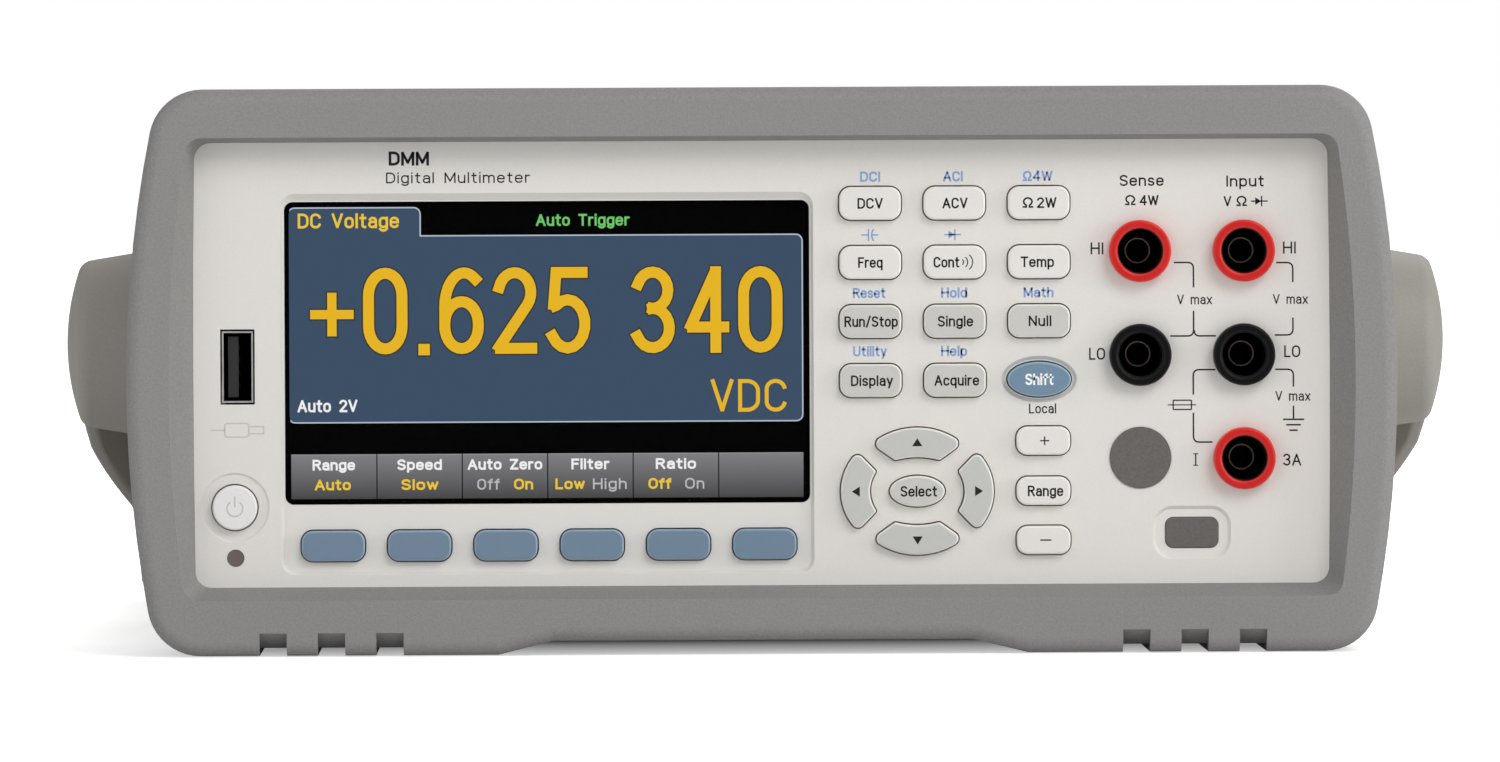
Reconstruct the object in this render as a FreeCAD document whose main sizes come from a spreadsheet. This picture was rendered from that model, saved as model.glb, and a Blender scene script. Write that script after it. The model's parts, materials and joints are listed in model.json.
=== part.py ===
"""Half-rack bench multimeter with rubber bumpers and a swinging bail handle.

Frame: +X to the right as seen from the front, +Y to the back, +Z up.  The origin is on the
surface that the feet stand on, at the middle of the footprint.  Lengths are in millimetres.
"""

import FreeCAD
import Part
import Sketcher

import math
import os
import re

from FreeCAD import Placement, Rotation, Vector

DIMENSIONS = {
    # case and its sheet-metal sleeve
    "case_width": 212.8,
    "case_bottom": 8.9,
    "case_top": 97.2,
    "case_corner": 4.0,
    "sleeve_front": -130.0,
    "sleeve_wall": 1.0,
    "rear_face": 126.7,
    "rear_plate": 1.5,
    "fit_gap": 0.2,
    "vent_first": 30.0,
    "vent_slot_width": 3.0,
    "vent_slot_height": 16.0,
    "vent_low": 30.0,
    "vent_high": 60.0,
    "vent_span": 63.0,
    "floor_vent_column": 50.0,
    "floor_vent_length": 30.0,
    # moulded front panel
    "panel_face": -145.6,
    "panel_thick": 3.0,
    "panel_wall": 2.2,
    "panel_edge_round": 0.8,
    # rubber bumpers: barrel-sided outline, feet, inner rim
    "bumper_front": -151.6,
    "bumper_depth": 38.6,
    "bumper_half": 116.5,
    "bumper_side_radius": 234.0,
    "bumper_side_level": 50.0,
    "bumper_top": 103.8,
    "bumper_corner": 9.8,
    "bumper_edge_round": 2.6,
    "bumper_back_round": 1.5,
    "foot_inner": 48.5,
    "foot_taper_end": 38.5,
    "foot_height": 2.5,
    "rim_half": 108.7,
    "rim_top": 94.9,
    "rim_bottom": 10.2,
    "rim_corner": 3.2,
    "rear_rim_corner": 5.0,
    "rim_side_radius": 290.0,
    "rim_panel_half": 104.3,
    "rim_panel_top": 94.0,
    "rim_panel_bottom": 12.4,
    "rim_panel_radius": 2600.0,
    "groove_width": 5.0,
    "groove_first": 68.4,
    "groove_pitch": 10.7,
    "groove_mouth": 4.2,
    "groove_depth": 1.3,
    "groove_scoop": 6.0,
    "rear_bumper_back": 151.6,
    "rear_bumper_depth": 49.9,
    "rear_rim_half": 101.0,
    "rear_rim_bottom": 14.4,
    "rear_rim_top": 91.7,
    # display recess, window and module
    "recess_left": -88.3,
    "recess_right": 9.5,
    "recess_bottom": 14.6,
    "recess_top": 84.6,
    "recess_depth": 1.0,
    "recess_round": 2.6,
    "recess_side_slope": 0.55,
    "recess_top_slope": 1.3,
    "window_left": -87.6,
    "window_right": 8.8,
    "window_bottom": 27.5,
    "window_top": 83.1,
    "window_round": 1.6,
    "window_thick": 1.6,
    "module_left": -91.0,
    "module_right": 12.2,
    "module_bottom": 25.7,
    "module_top": 86.5,
    "module_thick": 4.0,
    "module_sink": 0.3,
    "module_edge": 1.0,
    # keys: size, place, travel
    "key_gap": 0.24,
    "key_flange": 1.0,
    "key_flange_thick": 1.0,
    "key_edge_round": 0.45,
    "key_proud": 1.5,
    "function_width": 11.3,
    "function_height": 6.05,
    "function_round": 2.1,
    "function_left": 19.95,
    "function_pitch_across": 15.47,
    "function_top": 82.4,
    "function_pitch_down": 10.84,
    "softkey_width": 11.6,
    "softkey_height": 5.6,
    "softkey_round": 2.1,
    "softkey_left": -78.8,
    "softkey_pitch": 15.84,
    "softkey_level": 19.95,
    "softkey_proud": 0.5,
    "range_width": 9.85,
    "range_height": 5.2,
    "range_round": 2.0,
    "range_column": 51.58,
    "range_top": 38.72,
    "range_middle": 29.51,
    "range_low": 20.48,
    "shift_width": 11.65,
    "shift_height": 6.4,
    "shift_level": 50.0,
    "dish_depth": 0.6,
    "shift_dish_width": 13.9,
    "shift_dish_height": 8.6,
    "select_width": 10.1,
    "select_height": 5.65,
    "arrow_column": 28.42,
    "arrow_level": 29.54,
    "upright_outer_half": 8.4,
    "upright_outer_rise": 8.72,
    "upright_outer_radius": 13.4,
    "upright_inner_half": 4.07,
    "upright_inner_rise": 5.67,
    "upright_inner_radius": 14.8,
    "sideways_outer_half": 7.2,
    "sideways_outer_rise": 10.95,
    "sideways_outer_radius": 9.95,
    "sideways_inner_half": 3.65,
    "sideways_inner_rise": 7.5,
    "sideways_inner_radius": 6.15,
    "arrow_outer_round": 1.2,
    "arrow_inner_round": 0.5,
    "arrow_inner_limit": 6.2,
    "arrow_corner_parting": 10.3,
    "arrow_corner_limit": 15.0,
    "power_width": 8.25,
    "power_column": -96.8,
    "power_level": 27.1,
    "power_proud": 1.2,
    "power_dish": 12.8,
    "power_dish_depth": 0.35,
    # indicator, USB host socket, blank plugs
    "indicator_width": 3.2,
    "indicator_column": -96.7,
    "indicator_level": 17.8,
    "indicator_setback": 0.15,
    "plug_slip": 0.1,
    "plug_collar": 2.0,
    "plug_collar_thick": 1.0,
    "host_column": -96.2,
    "host_level": 52.9,
    "host_hole_width": 6.3,
    "host_hole_height": 13.8,
    "host_width": 5.7,
    "host_height": 13.1,
    "host_wall": 0.3,
    "host_setback": 0.3,
    "host_depth": 14.0,
    "host_tongue_width": 1.9,
    "host_tongue_height": 11.1,
    "host_tongue_gap": 0.8,
    "host_tongue_setback": 1.2,
    "host_spring_rise": 3.4,
    "host_spring_setback": 3.0,
    "host_spring_length": 4.0,
    "host_spring_width": 1.6,
    "blank_round_width": 11.35,
    "blank_round_column": 69.45,
    "blank_round_level": 35.5,
    "blank_switch_width": 9.9,
    "blank_switch_height": 5.8,
    "blank_switch_round": 1.6,
    "blank_switch_column": 78.85,
    "blank_switch_level": 21.7,
    "blank_proud": 0.25,
    "blank_edge_round": 0.3,
    "blank_dish_width": 14.4,
    "blank_dish_height": 9.8,
    "blank_dish_round": 3.6,
    # safety sockets for 4 mm plugs
    "jack_spacing": 19.05,
    "jack_column": 69.45,
    "jack_top": 73.45,
    "jack_ring": 11.4,
    "jack_ring_round": 0.55,
    "jack_opening": 8.36,
    "jack_neck": 10.8,
    "jack_hole": 11.0,
    "jack_nut": 14.5,
    "jack_nut_thick": 2.6,
    "jack_proud": 2.8,
    "jack_length": 26.0,
    "jack_floor": 3.0,
    "contact_width": 4.75,
    "contact_bore": 4.0,
    "contact_setback": 12.5,
    "contact_length": 25.0,
    "contact_bore_depth": 20.0,
    # boards and what they carry
    "mat_front": -139.3,
    "mat_thick": 1.5,
    "mat_left": -101.0,
    "mat_right": 60.0,
    "mat_bottom": 14.0,
    "mat_top": 90.5,
    "mat_step": 34.0,
    "mat_gap": 1.0,
    "mat_narrow_gap": 0.4,
    "front_board_thick": 1.6,
    "front_board_left": -102.0,
    "front_board_right": 60.0,
    "front_board_bottom": 13.5,
    "front_board_top": 92.0,
    "front_board_notch": 1.5,
    "main_board_level": 16.0,
    "main_board_thick": 1.6,
    "main_board_half": 100.0,
    "main_board_front": -117.0,
    "main_board_back": 104.0,
    "tray_wall": 1.2,
    "tray_side_height": 26.0,
    "tray_setback": 2.0,
    "tray_post_width": 7.0,
    "capacitor_width": 11.0,
    "capacitor_height": 20.0,
    "capacitor_left": -88.0,
    "capacitor_pitch": 15.0,
    "capacitor_back": 20.0,
    "processor_left": -30.0,
    "processor_front": -60.0,
    "processor_side": 24.0,
    "processor_thick": 2.5,
    "memory_left": -52.0,
    "memory_width": 16.0,
    "memory_length": 14.0,
    "memory_thick": 1.5,
    "heat_sink_left": -95.0,
    "heat_sink_width": 35.0,
    "heat_sink_front": -10.0,
    "heat_sink_thick": 12.0,
    "heat_sink_height": 24.0,
    "transformer_left": -30.0,
    "transformer_width": 66.0,
    "transformer_front": 44.0,
    "transformer_length": 52.0,
    "transformer_height": 52.0,
    "transformer_yoke": 11.0,
    "bobbin_gap": 2.0,
    "bobbin_overhang": 6.0,
    "bobbin_drop": 1.0,
    "core_leg": 14.0,
    "shield_wall": 0.8,
    "shield_left": 5.0,
    "shield_right": 92.0,
    "shield_front": -104.0,
    "shield_back": 10.0,
    "shield_height": 22.0,
    "shield_hole": 5.0,
    "shield_hole_left": 20.0,
    "shield_hole_pitch": 14.0,
    "shield_hole_front": -84.0,
    "shield_row_pitch": 32.0,
    # rear connectors
    "inlet_column": -70.0,
    "inlet_flange_width": 31.0,
    "inlet_flange_thick": 2.5,
    "inlet_bottom": 21.0,
    "inlet_top": 81.0,
    "inlet_socket_level": 37.5,
    "inlet_cavity_width": 24.6,
    "inlet_cavity_height": 17.2,
    "inlet_cavity_depth": 16.0,
    "inlet_body_depth": 28.0,
    "pin_spacing": 14.0,
    "pin_width": 2.0,
    "pin_height": 4.0,
    "pin_length": 13.5,
    "earth_rise": 4.0,
    "drawer_level": 64.0,
    "drawer_width": 22.0,
    "drawer_height": 13.0,
    "drawer_depth": 22.0,
    "drawer_gap": 0.3,
    "drawer_proud": 1.2,
    "drawer_wall": 2.0,
    "drawer_end": 1.5,
    "drawer_front": 2.5,
    "drawer_floor": 3.5,
    "drawer_notch_width": 7.0,
    "drawer_notch_rise": 3.0,
    "drawer_notch_height": 2.0,
    "drawer_notch_depth": 0.8,
    "inlet_pin_drop": 2.0,
    "inlet_flange_lap": 1.5,
    "inlet_housing_gap": 0.5,
    "device_column": 12.0,
    "device_width": 12.0,
    "device_height": 10.8,
    "device_length": 16.0,
    "device_mouth_width": 8.4,
    "device_mouth_height": 7.8,
    "device_mouth_depth": 9.0,
    "device_tongue_width": 5.6,
    "device_tongue_height": 3.2,
    "lan_column": 38.0,
    "lan_width": 16.0,
    "lan_height": 13.4,
    "lan_length": 18.0,
    "lan_mouth_width": 11.8,
    "lan_mouth_bottom": 4.4,
    "lan_mouth_height": 7.8,
    "lan_mouth_depth": 13.0,
    "lan_latch_width": 6.0,
    "lan_latch_bottom": 1.6,
    "lan_latch_depth": 8.0,
    "trigger_column": 68.0,
    "trigger_pitch": 20.0,
    "trigger_level": 58.0,
    "trigger_barrel": 9.6,
    "trigger_bore": 8.1,
    "trigger_behind": 12.0,
    "trigger_proud": 14.0,
    "trigger_bore_depth": 8.5,
    "trigger_pin": 2.2,
    "trigger_pin_length": 8.0,
    "trigger_nut": 14.0,
    "trigger_nut_thick": 2.5,
    "trigger_shoulder": 13.0,
    "trigger_shoulder_thick": 3.0,
    "trigger_lug": 2.0,
    "trigger_lug_span": 11.6,
    "trigger_lug_back": 10.0,
    "connector_proud": 0.8,
    "connector_slip": 0.3,
    "lock_slot_left": -2.0,
    "lock_slot_width": 7.0,
    "lock_slot_bottom": 50.0,
    "lock_slot_height": 3.0,
    "lock_slot_round": 1.4,
    "rear_vent_left": -44.0,
    "rear_vent_width": 2.5,
    "rear_vent_bottom": 66.0,
    "rear_vent_height": 20.0,
    "rear_vent_round": 1.2,
    "rear_vent_span": 81.0,
    # bail handle: hub on each side, curved arms, flat grip
    "hub_back": -66.6,
    "hub_level": 56.0,
    "hub_width": 31.8,
    "hub_base_width": 38.0,
    "hub_face_width": 28.0,
    "hub_rim_edge": 126.0,
    "hub_rim_round": 2.9,
    "hub_inner": 107.3,
    "hub_outer": 130.6,
    "hub_wall": 2.6,
    "hub_dome_radius": 43.8,
    "hub_dome_edge": 128.3,
    "arm_thick": 2.6,
    "arm_root_half": 128.8,
    "arm_root_width": 20.0,
    "arm_shoulder": 18.0,
    "arm_radius": 250.0,
    "arm_bend": 47.0,
    "arm_bend_half": 120.6,
    "arm_step_radius": 35.0,
    "arm_parallel": 54.5,
    "arm_parallel_end": 90.0,
    "arm_parallel_half": 119.5,
    "arm_end": 118.0,
    "arm_end_half": 111.6,
    "grip_reach": 123.0,
    "grip_length": 25.0,
    "grip_thick": 6.6,
    "grip_lean": 24.65,
    "grip_lead": 3.6,
    "grip_corner_round": 12.0,
    "grip_shoulder": 16.0,
    "grip_inner_half": 110.8,
    "grip_inner_shoulder": 10.0,
    "grip_inner_rise": 5.0,
    "grip_edge_round": 0.5,
    "arm_neck": 97.0,
    "arm_neck_high": 6.5,
    "arm_neck_low": 11.6,
    "arm_edge_round": 0.8,
    "pivot_width": 12.0,
    "pivot_running_gap": 0.05,
    "pivot_flange": 25.0,
    "pivot_flange_thick": 1.4,
    "pivot_end_gap": 1.2,
    "bearing_wall": 3.0,
    "bearing_gap": 0.4,
    # fasteners
    "screw_head": 6.0,
    "screw_head_thick": 2.2,
    "screw_shank": 3.0,
    "screw_length": 7.0,
    "screw_key": 2.5,
}

VENT_COUNT = 10
REAR_VENT_COUNT = 17
CAPACITOR_COUNT = 4
SHIELD_ROWS = 3
SHIELD_COLUMNS = 5
REAR_SCREWS = [("-95", "20"), ("95", "20"), ("-95", "86"), ("95", "86"), ("-36", "26")]
BOARD_SCREWS = [("-94", "-110"), ("96", "-110"), ("-94", "96"), ("94", "96")]
TINY = 1e-6
NEAR = 1e-3
SUBPARTS = []

doc = FreeCAD.newDocument("bench_multimeter")
sheet = doc.addObject("Spreadsheet::Sheet", "dims")
for row, (alias, value) in enumerate(DIMENSIONS.items(), 1):
    sheet.set(f"A{row}", alias)
    sheet.set(f"B{row}", str(value))
    sheet.setAlias(f"B{row}", alias)
doc.recompute()


# ---------------------------------------------------------------- expressions and placing

def bound(expression):
    """The expression with each dimension's name pointing at its cell."""
    return re.sub(r"[a-z_]{3,}", lambda m: f"dims.{m[0]}" if m[0] in DIMENSIONS else m[0], expression)


def number(expression):
    """The expression's value now."""
    return float(sheet.evalExpression(bound(expression)))


def place(thing, x="0", y="0", z="0"):
    """Bind where a thing's own origin sits."""
    for axis, expression in zip("xyz", (x, y, z)):
        thing.setExpression(f"Placement.Base.{axis}", bound(expression))


def finished(thing, label):
    """Name a completed sub-part and list it for export."""
    thing.Label = label
    SUBPARTS.append(thing)
    return thing


# ---------------------------------------------------------------- sketches

def sketch(body, plane, offset="0", x="0", y="0", turn=0):
    """An empty sketch on one of the body's origin planes, moved and turned within it."""
    drawing = body.newObject("Sketcher::SketchObject", "Sketch")
    support = next(f for f in body.Origin.OriginFeatures if f.Role == plane)
    drawing.AttachmentSupport = [(support, "")]
    drawing.MapMode = "FlatFace"
    drawing.AttachmentOffset = Placement(Vector(), Rotation(Vector(0, 0, 1), turn))
    for axis, expression in zip("xyz", (x, y, offset)):
        drawing.setExpression(f"AttachmentOffset.Base.{axis}", bound(expression))
    return drawing


def upright_sketch(body, depth, x="0", z="0", turn=0):
    """A sketch in the plane facing the front, at a depth along +Y."""
    return sketch(body, "XZ_Plane", f"-({depth})", x, z, turn)


def dimension(drawing, expression, kind, *where):
    """One sketch dimension, named and bound to its expression."""
    index = drawing.addConstraint(Sketcher.Constraint(kind, *where, number(expression)))
    name = f"{kind.lower()}_{index}"
    drawing.renameConstraint(index, name)
    drawing.setExpression(f"Constraints.{name}", bound(expression))


def pin(drawing, edge, end, x, y):
    """Hold one end of an edge at (x, y) in the sketch."""
    for kind, axis, expression in (("DistanceX", -2, x), ("DistanceY", -1, y)):
        if abs(number(expression)) < TINY:
            drawing.addConstraint(Sketcher.Constraint("PointOnObject", edge, end, axis))
        else:
            dimension(drawing, expression, kind, -1, 1, edge, end)


def arc_between(start, end, radius, side):
    """Arc from start to end, bulging to the right of the way for side 1 and to the left for -1."""
    chord = end - start
    rightwards = Vector(chord.y, -chord.x, 0).normalize()
    rise = math.sqrt(radius ** 2 - (chord.Length / 2) ** 2)
    centre = (start + end) / 2 - rightwards * rise * side
    first, last = (start, end) if side > 0 else (end, start)
    angles = [math.atan2(point.y - centre.y, point.x - centre.x) for point in (first, last)]
    return Part.ArcOfCircle(Part.Circle(centre, Vector(0, 0, 1), radius), *angles)


def outline(drawing, corners, arcs=None, hollows=None):
    """Closed outline through corners given as pairs of expressions.

    arcs gives a radius expression for an edge that is an arc, by the number of its first corner.
    hollows does the same for an arc that bulges to the left of the way round.
    """
    bulges = {index: (radius, 1) for index, radius in (arcs or {}).items()}
    bulges.update({index: (radius, -1) for index, radius in (hollows or {}).items()})
    points = [Vector(number(x), number(y), 0) for x, y in corners]
    first = drawing.GeometryCount
    ends = []
    for index, start in enumerate(points):
        end = points[(index + 1) % len(points)]
        if index not in bulges:
            drawing.addGeometry(Part.LineSegment(start, end), False)
            ends.append((1, 2))
            continue
        radius, side = bulges[index]
        drawing.addGeometry(arc_between(start, end, number(radius), side), False)
        ends.append((1, 2) if side > 0 else (2, 1))
    for index in range(len(points)):
        following = (index + 1) % len(points)
        joint = (first + index, ends[index][1], first + following, ends[following][0])
        drawing.addConstraint(Sketcher.Constraint("Coincident", *joint))
    for index, (x, y) in enumerate(corners):
        pin(drawing, first + index, ends[index][0], x, y)
    for index, (radius, _) in bulges.items():
        dimension(drawing, radius, "Radius", first + index)


def rectangle(drawing, left, right, bottom, top):
    outline(drawing, [(left, bottom), (right, bottom), (right, top), (left, top)])


def rounded_rectangle(drawing, left, right, bottom, top, radius):
    """Rectangle with tangent round corners."""
    low_x, high_x, low_y, high_y, r = (number(e) for e in (left, right, bottom, top, radius))
    first = drawing.GeometryCount
    sides = [
        (Vector(low_x + r, low_y), Vector(high_x - r, low_y)),
        (Vector(high_x, low_y + r), Vector(high_x, high_y - r)),
        (Vector(high_x - r, high_y), Vector(low_x + r, high_y)),
        (Vector(low_x, high_y - r), Vector(low_x, low_y + r)),
    ]
    centres = [
        Vector(high_x - r, low_y + r),
        Vector(high_x - r, high_y - r),
        Vector(low_x + r, high_y - r),
        Vector(low_x + r, low_y + r),
    ]
    quarter = math.pi / 2
    for start, end in sides:
        drawing.addGeometry(Part.LineSegment(start, end), False)
    for index, centre in enumerate(centres):
        circle = Part.Circle(centre, Vector(0, 0, 1), r)
        drawing.addGeometry(Part.ArcOfCircle(circle, (index - 1) * quarter, index * quarter), False)
    for index in range(4):
        side, corner, following = first + index, first + 4 + index, first + (index + 1) % 4
        drawing.addConstraint(Sketcher.Constraint("Tangent", side, 2, corner, 1))
        drawing.addConstraint(Sketcher.Constraint("Tangent", corner, 2, following, 1))
        level = "Vertical" if index % 2 else "Horizontal"
        drawing.addConstraint(Sketcher.Constraint(level, side))
    for index in range(1, 4):
        drawing.addConstraint(Sketcher.Constraint("Equal", first + 4, first + 4 + index))
    dimension(drawing, radius, "Radius", first + 4)
    dimension(drawing, bottom, "DistanceY", -1, 1, first, 1)
    dimension(drawing, right, "DistanceX", -1, 1, first + 1, 1)
    dimension(drawing, top, "DistanceY", -1, 1, first + 2, 1)
    dimension(drawing, left, "DistanceX", -1, 1, first + 3, 1)


def centred_rectangle(drawing, width, height, radius):
    """Round-cornered rectangle about the sketch's origin."""
    rounded_rectangle(drawing, f"-({width}) / 2", f"({width}) / 2",
                      f"-({height}) / 2", f"({height}) / 2", radius)


def circle(drawing, diameter, x="0", y="0"):
    centre = Vector(number(x), number(y), 0)
    edge = drawing.addGeometry(Part.Circle(centre, Vector(0, 0, 1), number(diameter) / 2), False)
    pin(drawing, edge, 3, x, y)
    dimension(drawing, diameter, "Diameter", edge)


def ellipse(drawing, width, height):
    """Ellipse about the sketch's origin, wider than high."""
    edge = drawing.addGeometry(Part.Ellipse(Vector(), number(width) / 2, number(height) / 2), False)
    drawing.exposeInternalGeometry(edge)
    drawing.addConstraint(Sketcher.Constraint("Coincident", edge, 3, -1, 1))
    drawing.addConstraint(Sketcher.Constraint("Horizontal", edge + 1))
    dimension(drawing, width, "Distance", edge + 1)
    dimension(drawing, height, "Distance", edge + 2)


# ---------------------------------------------------------------- features

def new_body(name):
    return doc.addObject("PartDesign::Body", name)


def pad(body, drawing, length, reverse=False, both=False):
    """Add material along the sketch's normal, which is -Y for an upright sketch."""
    feature = body.newObject("PartDesign::Pad", "Pad")
    feature.Profile = drawing
    feature.setExpression("Length", bound(length))
    feature.Reversed = reverse
    feature.Midplane = both
    return feature


def pocket(body, drawing, length, reverse=False, both=False):
    """Cut against the sketch's normal, which is towards +Y for an upright sketch."""
    feature = body.newObject("PartDesign::Pocket", "Pocket")
    feature.Refine = False
    feature.Profile = drawing
    feature.setExpression("Length", bound(length))
    feature.Reversed = reverse
    feature.Midplane = both
    return feature


def lofted_cut(body, outer, inner):
    """Cut the sloped hollow between two outlines."""
    feature = body.newObject("PartDesign::SubtractiveLoft", "SlopedCut")
    feature.Profile = outer
    feature.Sections = [inner]
    return feature


def turned(body, points, arcs=None, axis="V_Axis", plane="XY_Plane"):
    """Solid of revolution of a closed profile about a sketch axis."""
    drawing = sketch(body, plane)
    outline(drawing, points, hollows=arcs)
    feature = body.newObject("PartDesign::Revolution", "Revolution")
    feature.Profile = drawing
    feature.ReferenceAxis = (drawing, [axis])
    feature.Angle = 360
    return feature


def rounded(body, feature, test, radius):
    """Fillet the edges of the feature that pass the test."""
    doc.recompute()
    names = [f"Edge{i}" for i, edge in enumerate(feature.Shape.Edges, 1) if test(edge)]
    if not names:
        raise ValueError(f"no edge of {body.Label} to round")
    fillet = body.newObject("PartDesign::Fillet", "Fillet")
    fillet.Base = (feature, names)
    fillet.setExpression("Radius", bound(radius))
    return fillet


def repeated(body, feature, axis, length, count):
    """Linear pattern of a cut along one of the body's axes."""
    pattern = body.newObject("PartDesign::LinearPattern", "LinearPattern")
    pattern.Originals = [feature]
    direction = next(f for f in body.Origin.OriginFeatures if f.Role == axis)
    pattern.Direction = (direction, [""])
    pattern.setExpression("Length", bound(length))
    pattern.Occurrences = count
    body.Tip = pattern
    return pattern


def across_at(level):
    """Test for an edge that lies in the plane y = level of its body."""
    height = number(level)
    return lambda edge: (abs(edge.BoundBox.YMin - height) < NEAR
                         and abs(edge.BoundBox.YMax - height) < NEAR)


def runs_along_y(edge):
    start, end = edge.Vertexes[0].Point, edge.Vertexes[-1].Point
    return abs(end.y - start.y) > NEAR and math.hypot(end.x - start.x, end.z - start.z) < NEAR


# ---------------------------------------------------------------- primitives

def block(name, x_range, y_range, z_range):
    """Box between two expressions along each axis."""
    solid = doc.addObject("Part::Box", name)
    spans = zip(("Length", "Width", "Height"), (x_range, y_range, z_range))
    for size, (low, high) in spans:
        solid.setExpression(size, bound(f"({high}) - ({low})"))
    place(solid, x_range[0], y_range[0], z_range[0])
    return solid


def about(centre, width):
    """Range of a given width about a centre."""
    return f"{centre} - ({width}) / 2", f"{centre} + ({width}) / 2"


DIRECTIONS = {
    "x": Rotation(Vector(0, 1, 0), 90),
    "y": Rotation(Vector(1, 0, 0), -90),
    "z": Rotation(),
}


def rod(name, axis, diameter, length, x, y, z):
    """Cylinder that starts at a point and runs along +X, +Y or +Z."""
    solid = doc.addObject("Part::Cylinder", name)
    solid.setExpression("Radius", bound(f"({diameter}) / 2"))
    solid.setExpression("Height", bound(length))
    solid.Placement = Placement(Vector(), DIRECTIONS[axis])
    place(solid, x, y, z)
    return solid


def cut(name, base, *tools):
    """Base with the tools removed."""
    result = doc.addObject("Part::Cut", name)
    result.Base = base
    result.Tool = tools[0] if len(tools) == 1 else group(f"{name}_tools", *tools)
    return result


def join(name, *solids):
    result = doc.addObject("Part::MultiFuse", name)
    result.Shapes = list(solids)
    return result


def group(name, *solids):
    """Separate solids kept together in one node."""
    result = doc.addObject("Part::Compound", name)
    result.Links = list(solids)
    return result


# ---------------------------------------------------------------- key outlines

def function_outline(drawing, grow="0"):
    centred_rectangle(drawing, f"function_width + 2 * ({grow})",
                      f"function_height + 2 * ({grow})", f"function_round + ({grow})")


def softkey_outline(drawing, grow="0"):
    centred_rectangle(drawing, f"softkey_width + 2 * ({grow})",
                      f"softkey_height + 2 * ({grow})", f"softkey_round + ({grow})")


def range_outline(drawing, grow="0"):
    centred_rectangle(drawing, f"range_width + 2 * ({grow})",
                      f"range_height + 2 * ({grow})", f"range_round + ({grow})")


def shift_outline(drawing, grow="0"):
    ellipse(drawing, f"shift_width + 2 * ({grow})", f"shift_height + 2 * ({grow})")


def select_outline(drawing, grow="0"):
    ellipse(drawing, f"select_width + 2 * ({grow})", f"select_height + 2 * ({grow})")


def power_outline(drawing, grow="0"):
    circle(drawing, f"power_width + 2 * ({grow})")


def corner_shift(normal, other):
    """How far a corner moves when both edges that meet there move out by one."""
    return (normal + other) / (1 + normal.dot(other))


def arrow_outline(drawing, kind, grow):
    """Key between two arcs with slanted ends, pointing along the sketch's +Y."""
    outer_half, outer_rise, outer_radius, inner_half, inner_rise, inner_radius = (
        f"{kind}_{part}_{size}" for part in ("outer", "inner") for size in ("half", "rise", "radius"))
    outer = Vector(number(outer_half), number(outer_rise), 0)
    inner = Vector(number(inner_half), number(inner_rise), 0)
    end = outer - inner
    end_normal = Vector(end.y, -end.x, 0).normalize()
    outer_sine = outer.x / number(outer_radius)
    inner_sine = inner.x / number(inner_radius)
    outer_normal = Vector(outer_sine, math.sqrt(1 - outer_sine ** 2), 0)
    inner_normal = Vector(-inner_sine, -math.sqrt(1 - inner_sine ** 2), 0)
    outer_move = corner_shift(outer_normal, end_normal)
    inner_move = corner_shift(inner_normal, end_normal)
    outer_x = f"({outer_half} + {outer_move.x:.3f} * ({grow}))"
    outer_y = f"{outer_rise} + {outer_move.y:.3f} * ({grow})"
    inner_x = f"({inner_half} + {inner_move.x:.3f} * ({grow}))"
    inner_y = f"{inner_rise} + {inner_move.y:.3f} * ({grow})"
    corners = [(outer_x, outer_y), (f"-{outer_x}", outer_y), (f"-{inner_x}", inner_y), (inner_x, inner_y)]
    outline(drawing, corners, {0: f"{outer_radius} + ({grow})"}, {2: f"{inner_radius} - ({grow})"})


def upright_outline(drawing, grow="0"):
    arrow_outline(drawing, "upright", grow)


def sideways_outline(drawing, grow="0"):
    arrow_outline(drawing, "sideways", grow)


def arrow_corner(nearest, farthest, x="0", z="0"):
    """Test for an edge along Y at a distance from the middle of the arrow keys."""
    middle_x, middle_z = number(x), number(z)

    def test(edge):
        centre = edge.CenterOfMass
        reach = math.hypot(centre.x - middle_x, centre.z - middle_z)
        return runs_along_y(edge) and number(nearest) < reach < number(farthest)

    return test


def round_arrow_corners(body, feature, grow="0", x="0", z="0"):
    """Round the wide outer corners and the narrow inner ones of arrow keys or their openings."""
    outer = arrow_corner("arrow_corner_parting", "arrow_corner_limit", x, z)
    inner = arrow_corner("arrow_inner_limit", "arrow_corner_parting", x, z)
    feature = rounded(body, feature, outer, f"arrow_outer_round + ({grow})")
    return rounded(body, feature, inner, f"arrow_inner_round + ({grow})")


# ---------------------------------------------------------------- where each key sits

def function_place(column, row):
    return (f"function_left + {column} * function_pitch_across",
            f"function_top - {row} * function_pitch_down")


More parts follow.
